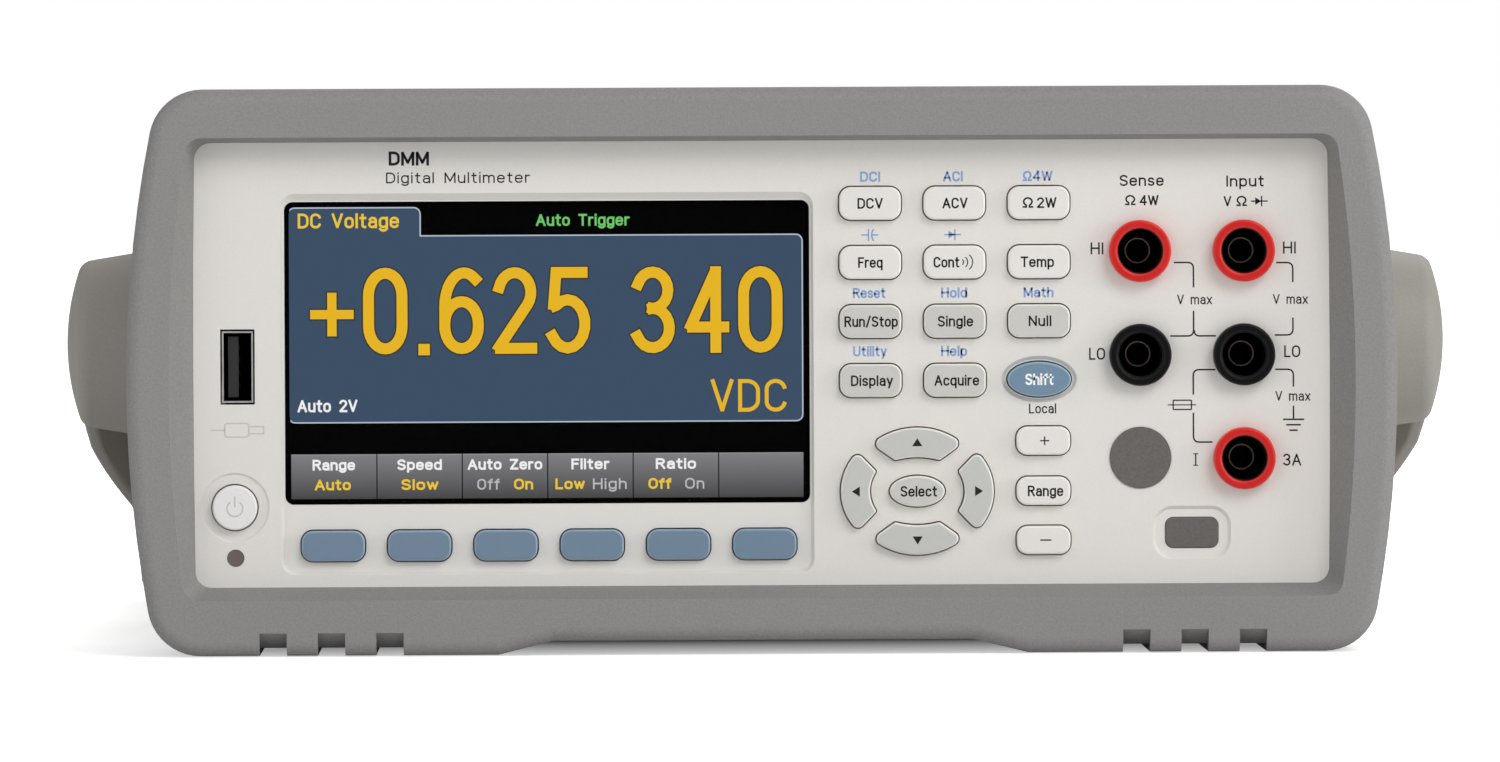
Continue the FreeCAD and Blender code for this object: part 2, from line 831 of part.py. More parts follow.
def key_table():
    """Every key: name, outline, column, level, turn of its outline and how proud it stands."""
    keys = []
    names = (("key_dc_volts", "key_ac_volts", "key_ohms"),
             ("key_frequency", "key_continuity", "key_temperature"),
             ("key_run_stop", "key_single", "key_null"),
             ("key_display", "key_acquire"))
    for row, row_names in enumerate(names):
        for column, name in enumerate(row_names):
            keys.append((name, function_outline, *function_place(column, row), 0, "key_proud"))
    shift_column = function_place(2, 3)[0]
    keys.append(("key_shift", shift_outline, shift_column, "shift_level", 0, "key_proud"))
    for index in range(6):
        column = f"softkey_left + {index} * softkey_pitch"
        keys.append((f"softkey_{index + 1}", softkey_outline, column, "softkey_level", 0, "softkey_proud"))
    for name in ("top", "middle", "low"):
        label = {"top": "key_range_up", "middle": "key_range_auto", "low": "key_range_down"}[name]
        keys.append((label, range_outline, "range_column", f"range_{name}", 0, "key_proud"))
    arrows = (("up", upright_outline, 0), ("left", sideways_outline, 90),
              ("down", upright_outline, 180), ("right", sideways_outline, 270))
    for name, shape, turn in arrows:
        keys.append((f"key_arrow_{name}", shape, "arrow_column", "arrow_level", turn, "key_proud"))
    keys.append(("key_select", select_outline, "arrow_column", "arrow_level", 0, "key_proud"))
    keys.append(("power_button", power_outline, "power_column", "power_level", 0, "power_proud"))
    return keys


KEYS = key_table()
KEY_COLUMN = {key[0]: key[2] for key in KEYS}


def make_key(name, shape, column, level, turn, proud):
    """Moulded key: cap through the panel, and a flange behind it that keeps the key in."""
    body = new_body(name)
    back = "panel_thick + key_gap"
    cap = upright_sketch(body, back, turn=turn)
    shape(cap)
    solid = pad(body, cap, f"{back} + {proud}")
    if shape in (upright_outline, sideways_outline):
        solid = round_arrow_corners(body, solid)
    rounded(body, solid, across_at(f"-({proud})"), "key_edge_round")
    flange = upright_sketch(body, back, turn=turn)
    shape(flange, "key_flange")
    pad(body, flange, "key_flange_thick", reverse=True)
    place(body, column, "panel_face", level)
    finished(body, name)


# ---------------------------------------------------------------- case and front panel

def make_case_sleeve():
    """Painted steel sleeve, open at both ends, with cooling slots in its sides and bottom."""
    body = new_body("case_sleeve")
    outside = upright_sketch(body, "sleeve_front")
    rounded_rectangle(outside, "-case_width / 2", "case_width / 2", "case_bottom", "case_top", "case_corner")
    pad(body, outside, "rear_face - sleeve_front", reverse=True)
    inside = upright_sketch(body, "sleeve_front")
    rounded_rectangle(inside, "-case_width / 2 + sleeve_wall", "case_width / 2 - sleeve_wall",
                      "case_bottom + sleeve_wall", "case_top - sleeve_wall", "case_corner - sleeve_wall")
    pocket(body, inside, "rear_face - sleeve_front")
    side = sketch(body, "YZ_Plane")
    for level in ("vent_low", "vent_high"):
        rounded_rectangle(side, "vent_first", "vent_first + vent_slot_width",
                          level, f"{level} + vent_slot_height", "vent_slot_width / 2.01")
    side_slot = pocket(body, side, "case_width + 2", both=True)
    doc.recompute()
    repeated(body, side_slot, "Y_Axis", "vent_span", VENT_COUNT)
    under = sketch(body, "XY_Plane", "case_bottom + 2 * sleeve_wall")
    for column in ("-floor_vent_column", "floor_vent_column"):
        rounded_rectangle(under, f"{column} - floor_vent_length / 2", f"{column} + floor_vent_length / 2",
                          "vent_first", "vent_first + vent_slot_width", "vent_slot_width / 2.01")
    floor_slot = pocket(body, under, "3 * sleeve_wall")
    doc.recompute()
    repeated(body, floor_slot, "Y_Axis", "vent_span", VENT_COUNT)
    finished(body, "case_sleeve")


def make_chassis_tray():
    """Folded sheet tray with round bends, and a post under each corner of the main board."""
    half = "(case_width / 2 - sleeve_wall - fit_gap)"
    low = "(case_bottom + sleeve_wall + fit_gap)"
    start = "(sleeve_front + tray_setback)"
    length = f"rear_face - rear_plate - tray_setback - {start}"
    bend = "(case_corner - sleeve_wall)"
    body = new_body("tray_sheet")
    outside = upright_sketch(body, start)
    rounded_rectangle(outside, f"-{half}", half, low, f"{low} + 2 * tray_side_height", bend)
    pad(body, outside, length, reverse=True)
    inside = upright_sketch(body, start)
    rounded_rectangle(inside, f"-{half} + tray_wall", f"{half} - tray_wall", f"{low} + tray_wall",
                      f"{low} + 2 * tray_side_height - tray_wall", f"{bend} - tray_wall")
    pocket(body, inside, length)
    upper = upright_sketch(body, start)
    rectangle(upper, "-case_width", "case_width", f"{low} + tray_side_height", "2 * case_top")
    pocket(body, upper, length)
    posts = [rod("post", "z", "tray_post_width", f"main_board_level - {low}", x, y, low)
             for x, y in BOARD_SCREWS]
    bores = [rod("post_bore", "z", "screw_shank + fit_gap", "main_board_level", x, y, low)
             for x, y in BOARD_SCREWS]
    finished(cut("tray", join("tray_posts", body, *posts), *bores), "chassis_tray")


def cut_display_recess(body):
    """Sloped shallow recess around the window and the softkeys."""
    rim = upright_sketch(body, "0")
    rounded_rectangle(rim, "recess_left", "recess_right", "recess_bottom", "recess_top", "recess_round")
    floor = upright_sketch(body, "recess_depth")
    rounded_rectangle(floor, "recess_left + recess_side_slope", "recess_right - recess_side_slope",
                      "recess_bottom + recess_side_slope", "recess_top - recess_top_slope",
                      "recess_round - recess_side_slope")
    lofted_cut(body, rim, floor)


def cut_dish(body, x, z, depth, outline_of):
    """Shallow dish whose floor is smaller than its rim by its depth on each side."""
    rim = upright_sketch(body, "0", x, z)
    outline_of(rim, "0")
    floor = upright_sketch(body, depth, x, z)
    outline_of(floor, f"-2 * ({depth})")
    lofted_cut(body, rim, floor)


def shift_dish(drawing, grow):
    ellipse(drawing, f"shift_dish_width + {grow}", f"shift_dish_height + {grow}")


def power_dish(drawing, grow):
    circle(drawing, f"power_dish + {grow}")


def blank_dish(drawing, grow):
    centred_rectangle(drawing, f"blank_dish_width + {grow}", f"blank_dish_height + {grow}",
                      f"blank_dish_round + ({grow}) / 2")


def jack_place(column, row):
    return f"jack_column + {column} * jack_spacing", f"jack_top - {row} * jack_spacing"


JACKS = {
    "jack_sense_hi": jack_place(0, 0),
    "jack_input_hi": jack_place(1, 0),
    "jack_sense_lo": jack_place(0, 1),
    "jack_input_lo": jack_place(1, 1),
    "jack_current": jack_place(1, 2),
}


def cut_key_openings(body, keys):
    """An opening for each key, wider than the key by the gap all round."""
    for _, shape, column, level, turn, _ in keys:
        opening = upright_sketch(body, "0", column, level, turn)
        shape(opening, "key_gap")
        last = pocket(body, opening, "panel_thick + 1")
    return last


def cut_fixed_openings(body):
    """Openings for the window, sockets, indicator and blank plugs."""
    plain = upright_sketch(body, "0")
    for x, z in JACKS.values():
        circle(plain, "jack_hole", x, z)
    circle(plain, "indicator_width", "indicator_column", "indicator_level")
    circle(plain, "blank_round_width", "blank_round_column", "blank_round_level")
    rectangle(plain, *about("host_column", "host_hole_width"), *about("host_level", "host_hole_height"))
    rounded_rectangle(plain, *about("blank_switch_column", "blank_switch_width"),
                      *about("blank_switch_level", "blank_switch_height"), "blank_switch_round")
    rounded_rectangle(plain, "window_left", "window_right", "window_bottom", "window_top", "window_round")
    pocket(body, plain, "panel_thick + 1")


def make_front_bezel():
    """Moulded front panel with side walls, a display recess and all its openings."""
    body = new_body("front_bezel")
    outside = upright_sketch(body, "0")
    rounded_rectangle(outside, "-case_width / 2", "case_width / 2", "case_bottom", "case_top", "case_corner")
    shell = pad(body, outside, "sleeve_front - panel_face", reverse=True)
    rounded(body, shell, across_at("0"), "panel_edge_round")
    inside = upright_sketch(body, "panel_thick")
    rounded_rectangle(inside, "-case_width / 2 + panel_wall", "case_width / 2 - panel_wall",
                      "case_bottom + panel_wall", "case_top - panel_wall", "case_corner - panel_wall")
    pocket(body, inside, "sleeve_front - panel_face")
    arrows = [key for key in KEYS if key[1] in (upright_outline, sideways_outline)]
    openings = cut_key_openings(body, arrows)
    round_arrow_corners(body, openings, "key_gap", "arrow_column", "arrow_level")
    cut_display_recess(body)
    cut_dish(body, KEY_COLUMN["key_shift"], "shift_level", "dish_depth", shift_dish)
    cut_dish(body, "power_column", "power_level", "power_dish_depth", power_dish)
    cut_dish(body, "blank_switch_column", "blank_switch_level", "dish_depth", blank_dish)
    cut_key_openings(body, [key for key in KEYS if key not in arrows])
    cut_fixed_openings(body)
    place(body, y="panel_face")
    finished(body, "front_bezel")


# ---------------------------------------------------------------- bumpers

def side_half(level, half="bumper_half", radius="bumper_side_radius"):
    """Half width of a barrel side at a level."""
    drop = f"({level} - bumper_side_level)"
    return f"({half} - {radius} + sqrt({radius} ^ 2 - {drop} ^ 2))"


def bumper_outline(drawing):
    """Barrel-sided outline whose bottom corners stand on the table."""
    top = side_half("bumper_top")
    bottom = side_half("0")
    corners = [(bottom, "0"), (top, "bumper_top"), (f"-{top}", "bumper_top"), (f"-{bottom}", "0"),
               ("-foot_inner", "0"), ("-foot_taper_end", "foot_height"),
               ("foot_taper_end", "foot_height"), ("foot_inner", "0")]
    outline(drawing, corners, {0: "bumper_side_radius", 2: "bumper_side_radius"})


def barrel(drawing, half, bottom, top, radius):
    """Opening with curved sides and sharp corners."""
    high = side_half(top, half, radius)
    low = side_half(bottom, half, radius)
    corners = [(low, bottom), (high, top), (f"-{high}", top), (f"-{low}", bottom)]
    outline(drawing, corners, {0: radius, 2: radius})


def corner_edges(body, feature, lowest, highest, radius, widest="bumper_half"):
    """Round the four corners of a barrel outline."""
    low, high = number(lowest) + NEAR, number(highest) - NEAR

    def test(edge):
        centre = edge.CenterOfMass
        return (runs_along_y(edge) and not low < centre.z < high
                and abs(centre.x) > number("foot_inner") + 1 and abs(centre.x) < number(widest) + 1)

    return rounded(body, feature, test, radius)


def slopes_back(edge):
    """Whether an edge runs from the front of the rim down to the panel."""
    start, end = sorted(vertex.Point.y for vertex in (edge.Vertexes[0], edge.Vertexes[-1]))
    return abs(start) < NEAR and abs(end - number("panel_face - bumper_front")) < NEAR


def bumper_blank(label, front, depth):
    """Bumper block with its outer edges rounded."""
    body = new_body(label)
    outside = upright_sketch(body, "0")
    bumper_outline(outside)
    solid = pad(body, outside, depth, reverse=True)
    solid = corner_edges(body, solid, "0", "bumper_top", "bumper_corner")
    return body, solid


def case_hollow(body, start, length):
    """Hollow that the case fits into."""
    hollow = upright_sketch(body, start)
    rounded_rectangle(hollow, "-case_width / 2", "case_width / 2", "case_bottom", "case_top", "case_corner")
    return pocket(body, hollow, length)


def cut_foot_grooves(body):
    """Three grooves across the bottom of each foot, scooped upward at the front."""
    for index in range(3):
        for side in ("-", ""):
            centre = f"{side}(groove_first + {index} * groove_pitch)"
            profile = sketch(body, "YZ_Plane", centre)
            corners = [("-1", "-1"), ("bumper_depth + 1", "-1"), ("bumper_depth + 1", "groove_depth"),
                       ("groove_scoop", "groove_depth"), ("0", "groove_mouth"), ("-1", "groove_mouth")]
            outline(profile, corners)
            pocket(body, profile, "groove_width", both=True)


def make_front_bumper():
    """Rubber bumper over the front of the case, with a sloped rim around the panel."""
    body, solid = bumper_blank("front_bumper", "bumper_front", "bumper_depth")
    solid = rounded(body, solid, across_at("0"), "bumper_edge_round")
    rounded(body, solid, across_at("bumper_depth"), "bumper_back_round")
    case_hollow(body, "panel_face - bumper_front", "bumper_depth")
    rim = upright_sketch(body, "0")
    barrel(rim, "rim_half", "rim_bottom", "rim_top", "rim_side_radius")
    inner = upright_sketch(body, "panel_face - bumper_front")
    barrel(inner, "rim_panel_half", "rim_panel_bottom", "rim_panel_top", "rim_panel_radius")
    sloped = lofted_cut(body, rim, inner)
    rounded(body, sloped, slopes_back, "rim_corner")
    cut_foot_grooves(body)
    place(body, y="bumper_front")
    finished(body, "front_bumper")


def make_rear_bumper():
    """Rubber bumper around the back of the case, standing out past the connectors."""
    body, solid = bumper_blank("rear_bumper", "rear_bumper_back - rear_bumper_depth", "rear_bumper_depth")
    solid = rounded(body, solid, across_at("rear_bumper_depth"), "bumper_edge_round")
    rounded(body, solid, across_at("0"), "bumper_back_round")
    front = "(rear_bumper_back - rear_bumper_depth)"
    case_hollow(body, "0", f"rear_face - {front}")
    opening = upright_sketch(body, "0")
    rounded_rectangle(opening, "-rear_rim_half", "rear_rim_half", "rear_rim_bottom", "rear_rim_top",
                      "rear_rim_corner")
    pocket(body, opening, "rear_bumper_depth + 1")
    place(body, y=front)
    finished(body, "rear_bumper")


# ---------------------------------------------------------------- display and front electronics

def make_display_window():
    """Clear cover glass, flush with the floor of the display recess."""
    body = new_body("display_window")
    drawing = upright_sketch(body, "recess_depth")
    edge = "fit_gap / 2"
    rounded_rectangle(drawing, f"window_left + {edge}", f"window_right - {edge}",
                      f"window_bottom + {edge}", f"window_top - {edge}", "window_round")
    pad(body, drawing, "window_thick", reverse=True)
    place(body, y="panel_face")
    finished(body, "display_window")


def make_lcd_module():
    """Display module behind the window, with a raised metal bezel around its glass."""
    front = "panel_face + panel_thick + fit_gap / 2"
    case = block("module_case", ("module_left", "module_right"), (front, f"{front} + module_thick"),
                 ("module_bottom", "module_top"))
    glass = block("module_glass", ("window_left + module_edge", "window_right - module_edge"),
                  (f"{front} - module_edge", f"{front} + module_sink"),
                  ("window_bottom + module_edge", "window_top - module_edge"))
    finished(cut("module_frame", case, glass), "lcd_module")


def make_front_board():
    """Board behind the keys, cut away where the USB host socket passes."""
    front = "mat_front + mat_thick + fit_gap"
    plate = block("front_board_plate", ("front_board_left", "front_board_right"),
                  (front, f"{front} + front_board_thick"), ("front_board_bottom", "front_board_top"))
    notch = block("front_board_notch",
                  ("front_board_left - 1", "host_column + host_width / 2 + front_board_notch"),
                  ("mat_front", f"{front} + 2 * front_board_thick"),
                  about("host_level", "host_height + 2 * front_board_notch"))
    finished(cut("front_board_cut", plate, notch), "front_board")


def make_keypad_mat():
    """Silicone contact mat behind the keys, in one piece around the display."""
    body = new_body("keypad_mat")
    drawing = upright_sketch(body, "0")
    right_gap, left_gap = "module_right + mat_gap", "module_left - mat_narrow_gap"
    outline(drawing, [("mat_left", "mat_bottom"), ("mat_right", "mat_bottom"), ("mat_right", "mat_top"),
                      (right_gap, "mat_top"), (right_gap, "module_bottom - mat_gap"),
                      (left_gap, "module_bottom - mat_gap"), (left_gap, "mat_step"),
                      ("mat_left", "mat_step")])
    pad(body, drawing, "mat_thick", reverse=True)
    place(body, y="mat_front")
    finished(body, "keypad_mat")


def make_usb_host():
    """Upright USB socket: a folded metal shell, and the contact tongue within it."""
    front = "(panel_face + host_setback)"
    back = f"({front} + host_depth)"
    across, up = about("host_column", "host_width"), about("host_level", "host_height")
    inner_across = about("host_column", "host_width - 2 * host_wall")
    inner_up = about("host_level", "host_height - 2 * host_wall")
    outer = block("host_outer", across, (front, back), up)
    tools = [block("host_hollow", inner_across, (f"{front} - 1", f"{back} - 1"), inner_up)]
    spring_start = f"{front} + host_spring_setback"
    for side in ("host_column - host_width", "host_column"):
        for level in ("host_level - host_spring_rise", "host_level + host_spring_rise"):
            tools.append(block("host_spring", (side, f"{side} + host_width"),
                               (spring_start, f"{spring_start} + host_spring_length"),
                               about(level, "host_spring_width")))
    finished(cut("host_folded", outer, *tools), "usb_host_shell")
    left = f"{inner_across[0]} + host_tongue_gap"
    tongue = block("host_tongue", (left, f"{left} + host_tongue_width"),
                   (f"{front} + host_tongue_setback", f"{back} - 1"),
                   about("host_level", "host_tongue_height"))
    finished(tongue, "usb_host_tongue")


def collared_plug(name, hole, proud, x, z):
    """Round plug that fills a hole in the panel, with a collar behind it."""
    head = rod(f"{name}_head", "y", f"{hole} - plug_slip", f"panel_thick + {proud} + plug_collar_thick",
               x, f"panel_face - ({proud})", z)
    collar = rod(f"{name}_collar", "y", f"{hole} + plug_collar", "plug_collar_thick",
                 x, "panel_face + panel_thick", z)
    return join(f"{name}_plug", head, collar)


def make_indicator_lens():
    finished(collared_plug("lens", "indicator_width", "-indicator_setback", "indicator_column",
                           "indicator_level"), "indicator_lens")


def make_blank_plugs():
    """Plugs that close the openings left for a second current socket and a terminal switch."""
    finished(collared_plug("round_blank", "blank_round_width", "blank_proud", "blank_round_column",
                           "blank_round_level"), "round_blank_plug")
    body = new_body("switch_blank_plug")
    face = upright_sketch(body, "panel_thick")
    centred_rectangle(face, "blank_switch_width - plug_slip", "blank_switch_height - plug_slip",
                      "blank_switch_round")
    solid = pad(body, face, "panel_thick - dish_depth + blank_proud")
    rounded(body, solid, across_at("dish_depth - blank_proud"), "blank_edge_round")
    flange = upright_sketch(body, "panel_thick")
    centred_rectangle(flange, "blank_switch_width + plug_collar", "blank_switch_height + plug_collar",
                      "blank_switch_round")
    pad(body, flange, "plug_collar_thick", reverse=True)
    place(body, "blank_switch_column", "panel_face", "blank_switch_level")
    finished(body, "switch_blank_plug")


# ---------------------------------------------------------------- safety sockets

def make_jack(name, x, z):
    """Insulated socket: ring on the panel, neck through it, nut behind and a closed barrel."""
    body = new_body(name)
    mouth, bore = "-jack_proud", "jack_opening / 2"
    nut_front, nut_back = "panel_thick", "(panel_thick + jack_nut_thick)"
    end = "(jack_length - jack_proud)"
    profile = [(bore, mouth), ("jack_ring / 2", mouth), ("jack_ring / 2", "0"), ("jack_neck / 2", "0"),
               ("jack_neck / 2", nut_front), ("jack_nut / 2", nut_front), ("jack_nut / 2", nut_back),
               ("jack_neck / 2", nut_back), ("jack_neck / 2", end), ("contact_width / 2", end),
               ("contact_width / 2", f"{end} - jack_floor"), (bore, f"{end} - jack_floor")]
    solid = turned(body, profile)
    rim = across_at(mouth)
    rounded(body, solid, rim, "jack_ring_round")
    place(body, x, "panel_face", z)
    finished(body, name)


def make_jack_contacts():
    """Spring contact tube of each socket, with its 4 mm bore."""
    tubes = []
    front = "panel_face - jack_proud + contact_setback"
    for name, (x, z) in JACKS.items():
        tube = rod(f"{name}_tube", "y", "contact_width", "contact_length", x, front, z)
        bore = rod(f"{name}_bore", "y", "contact_bore", "contact_bore_depth + 1", x, f"{front} - 1", z)
        tubes.append(cut(f"{name}_contact", tube, bore))
    finished(group("contact_tubes", *tubes), "jack_contacts")


# ---------------------------------------------------------------- boards inside

def make_main_board():
    """Main board with its larger parts, which are soldered on and never come apart."""
    top = "main_board_level + main_board_thick"
    plate = block("main_board_plate", ("-main_board_half", "main_board_half"),
                  ("main_board_front", "main_board_back"), ("main_board_level", top))
    holes = [rod("board_hole", "z", "screw_shank + fit_gap", "main_board_thick + 2", x, y,
                 "main_board_level - 1") for x, y in BOARD_SCREWS]
    capacitors = [rod("capacitor", "z", "capacitor_width", "capacitor_height",
                      f"capacitor_left + {index} * capacitor_pitch", "capacitor_back", top)
                  for index in range(CAPACITOR_COUNT)]
    processor = block("processor", ("processor_left", "processor_left + processor_side"),
                      ("processor_front", "processor_front + processor_side"),
                      (top, f"{top} + processor_thick"))
    memory = block("memory", ("memory_left", "memory_left + memory_width"),
                   ("processor_front", "processor_front + memory_length"), (top, f"{top} + memory_thick"))
    heat_sink = block("heat_sink", ("heat_sink_left", "heat_sink_left + heat_sink_width"),
                      ("heat_sink_front", "heat_sink_front + heat_sink_thick"),
                      (top, f"{top} + heat_sink_height"))
    drilled = cut("main_board_drilled", plate, *holes)
    finished(join("main_board_whole", drilled, *capacitors, processor, memory, heat_sink), "main_board")


def make_power_transformer():
    """Laminated core with a middle leg, and the wound bobbin around that leg."""
    base = "main_board_level + main_board_thick"
    left, right = "transformer_left", "(transformer_left + transformer_width)"
    front, back = "transformer_front", "(transformer_front + transformer_length)"
    bottom, top = f"({base} + transformer_yoke)", f"({base} + transformer_height - transformer_yoke)"
    core = block("core", (left, right), (front, back), (base, f"{base} + transformer_height"))
    window = block("core_window", (f"{left} + transformer_yoke", f"{right} - transformer_yoke"),
                   (f"{front} - 1", f"{back} + 1"), (bottom, top))
    leg = block("core_leg", about(f"({left} + {right}) / 2", "core_leg"), (front, back),
                (f"{bottom} - 1", f"{top} + 1"))
    bobbin = block("bobbin", (f"{left} + transformer_yoke + bobbin_gap",
                              f"{right} - transformer_yoke - bobbin_gap"),
                   (f"{front} - bobbin_overhang", f"{back} + bobbin_overhang"),
                   (f"{bottom} + bobbin_drop", f"{top} - bobbin_drop"))
    finished(join("transformer_whole", cut("core_frame", core, window), bobbin, leg), "power_transformer")


def make_measurement_shield():
    """Folded sheet cover over the measuring circuit, open underneath, with rows of holes."""
    base = "main_board_level + main_board_thick"
    top = f"{base} + shield_height"
    outer = block("shield_outer", ("shield_left", "shield_right"), ("shield_front", "shield_back"),
                  (base, top))
    inner = block("shield_inner", ("shield_left + shield_wall", "shield_right - shield_wall"),
                  ("shield_front + shield_wall", "shield_back - shield_wall"),
                  (f"{base} - 1", f"{top} - shield_wall"))
    holes = []
    for row in range(SHIELD_ROWS):
        for column in range(SHIELD_COLUMNS):
            holes.append(rod("shield_hole", "z", "shield_hole", "4 * shield_wall",
                             f"shield_hole_left + {column} * shield_hole_pitch",
                             f"shield_hole_front + {row} * shield_row_pitch", f"{top} - 2 * shield_wall"))
    finished(cut("shield_folded", outer, inner, *holes), "measurement_shield")


# ---------------------------------------------------------------- rear panel and its connectors

def make_rear_panel():
    """Sheet panel with an opening for each connector, a lock slot and a row of vents."""
    body = new_body("rear_panel")
    plate = upright_sketch(body, "0")
    half = "(case_width / 2 - sleeve_wall - fit_gap)"
    rounded_rectangle(plate, f"-{half}", half, "case_bottom + sleeve_wall + fit_gap",
                      "case_top - sleeve_wall - fit_gap", "case_corner - sleeve_wall")
    pad(body, plate, "rear_plate")
    holes = upright_sketch(body, "-rear_plate")
    base = "main_board_level + main_board_thick"
    rectangle(holes, *about("inlet_column", "inlet_flange_width - 2 * inlet_flange_lap"),
              "inlet_bottom + inlet_flange_lap", "inlet_top - inlet_flange_lap")
    for kind in ("device", "lan"):
        rectangle(holes, *about(f"{kind}_column", f"{kind}_width + 2 * connector_slip"),
                  f"{base} - connector_slip", f"{base} + {kind}_height + connector_slip")
    for index in range(2):
        circle(holes, "trigger_barrel + fit_gap", f"trigger_column + {index} * trigger_pitch",
               "trigger_level")
    rounded_rectangle(holes, "lock_slot_left", "lock_slot_left + lock_slot_width", "lock_slot_bottom",
                      "lock_slot_bottom + lock_slot_height", "lock_slot_round")
    for x, z in REAR_SCREWS:
        circle(holes, "screw_shank + fit_gap", x, z)
    pocket(body, holes, "rear_plate + 1")
    vents = upright_sketch(body, "-rear_plate")
    rounded_rectangle(vents, "rear_vent_left", "rear_vent_left + rear_vent_width", "rear_vent_bottom",
                      "rear_vent_bottom + rear_vent_height", "rear_vent_round")
    slots = pocket(body, vents, "rear_plate + 1")
    doc.recompute()
    repeated(body, slots, "X_Axis", "rear_vent_span", REAR_VENT_COUNT)
    place(body, y="rear_face")
    finished(body, "rear_panel")


def make_mains_inlet():
    """Panel inlet with a recess for the mains plug and a pocket for the fuse drawer."""
    back = "rear_face + inlet_flange_thick"
    inset = "inlet_flange_lap + inlet_housing_gap"
    flange = block("inlet_flange", about("inlet_column", "inlet_flange_width"), ("rear_face", back),
                   ("inlet_bottom", "inlet_top"))
    housing = block("inlet_housing", about("inlet_column", f"inlet_flange_width - 2 * ({inset})"),
                    ("rear_face - inlet_body_depth", "rear_face + 1"),
                    (f"inlet_bottom + {inset}", f"inlet_top - ({inset})"))
    cavity = block("inlet_cavity", about("inlet_column", "inlet_cavity_width"),
                   (f"{back} - inlet_cavity_depth", f"{back} + 1"),
                   about("inlet_socket_level", "inlet_cavity_height"))
    seat = block("drawer_seat", about("inlet_column", "drawer_width + 2 * drawer_gap"),
                 (f"{back} - drawer_depth - drawer_gap", f"{back} + 1"),
                 about("drawer_level", "drawer_height + 2 * drawer_gap"))
    finished(cut("inlet_moulding", join("inlet_blank", flange, housing), cavity, seat), "mains_inlet")


def make_inlet_pins():
    """Three flat pins standing from the floor of the mains recess."""
    floor = "rear_face + inlet_flange_thick - inlet_cavity_depth"
    level = "inlet_socket_level - inlet_pin_drop"
    places = (("inlet_column - pin_spacing / 2", level), ("inlet_column + pin_spacing / 2", level),
              ("inlet_column", f"{level} + earth_rise"))
    pins = [block("inlet_pin", about(x, "pin_width"), (floor, f"{floor} + pin_length"),
                  about(z, "pin_height")) for x, z in places]
    finished(group("inlet_pin_set", *pins), "inlet_pins")


def make_fuse_drawer():
    """Drawer that slides out of the inlet to reach the fuse, with a notch for a fingernail."""
    back = "rear_face + inlet_flange_thick"
    inner_end = f"{back} - drawer_depth"
    drawer = block("drawer_block", about("inlet_column", "drawer_width"),
                   (inner_end, f"{back} + drawer_proud"), about("drawer_level", "drawer_height"))
    tray = block("drawer_tray", about("inlet_column", "drawer_width - 2 * drawer_wall"),
                 (f"{inner_end} + drawer_end", f"{back} - drawer_front"),
                 ("drawer_level - drawer_height / 2 + drawer_floor", "drawer_level + drawer_height"))
    notch_bottom = "drawer_level + drawer_notch_rise"
    notch = block("drawer_notch", about("inlet_column", "drawer_notch_width"),
                  (f"{back} - drawer_notch_depth", f"{back} + 2 * drawer_proud"),
                  (notch_bottom, f"{notch_bottom} + drawer_notch_height"))
    finished(cut("drawer_open", drawer, tray, notch), "fuse_drawer")


def make_usb_device_socket():
    """Square USB socket on the main board, reaching through the rear panel."""
    base = "main_board_level + main_board_thick"
    back = "rear_face + connector_proud"
    middle = f"{base} + device_height / 2"
    outer = block("device_outer", about("device_column", "device_width"), (f"{back} - device_length", back),
                  (base, f"{base} + device_height"))
    hollow = block("device_hollow", about("device_column", "device_mouth_width"),
                   (f"{back} - device_mouth_depth", f"{back} + 1"), about(middle, "device_mouth_height"))
    tongue = block("device_tongue", about("device_column", "device_tongue_width"),
                   (f"{back} - device_mouth_depth - 1", f"{back} - 1"), about(middle, "device_tongue_height"))
    finished(join("device_whole", cut("device_shell", outer, hollow), tongue), "usb_device_socket")


def make_lan_socket():
    """Network socket with the step for the plug's latch."""
    base = "main_board_level + main_board_thick"
    back = "rear_face + connector_proud"
    floor = f"{base} + lan_mouth_bottom"
    outer = block("lan_outer", about("lan_column", "lan_width"), (f"{back} - lan_length", back),
                  (base, f"{base} + lan_height"))
    hollow = block("lan_hollow", about("lan_column", "lan_mouth_width"),
                   (f"{back} - lan_mouth_depth", f"{back} + 1"), (floor, f"{floor} + lan_mouth_height"))
    latch = block("lan_latch", about("lan_column", "lan_latch_width"),
                  (f"{back} - lan_latch_depth", f"{back} + 1"),
                  (f"{base} + lan_latch_bottom", f"{floor} + 1"))
    finished(cut("lan_shell", outer, hollow, latch), "lan_socket")


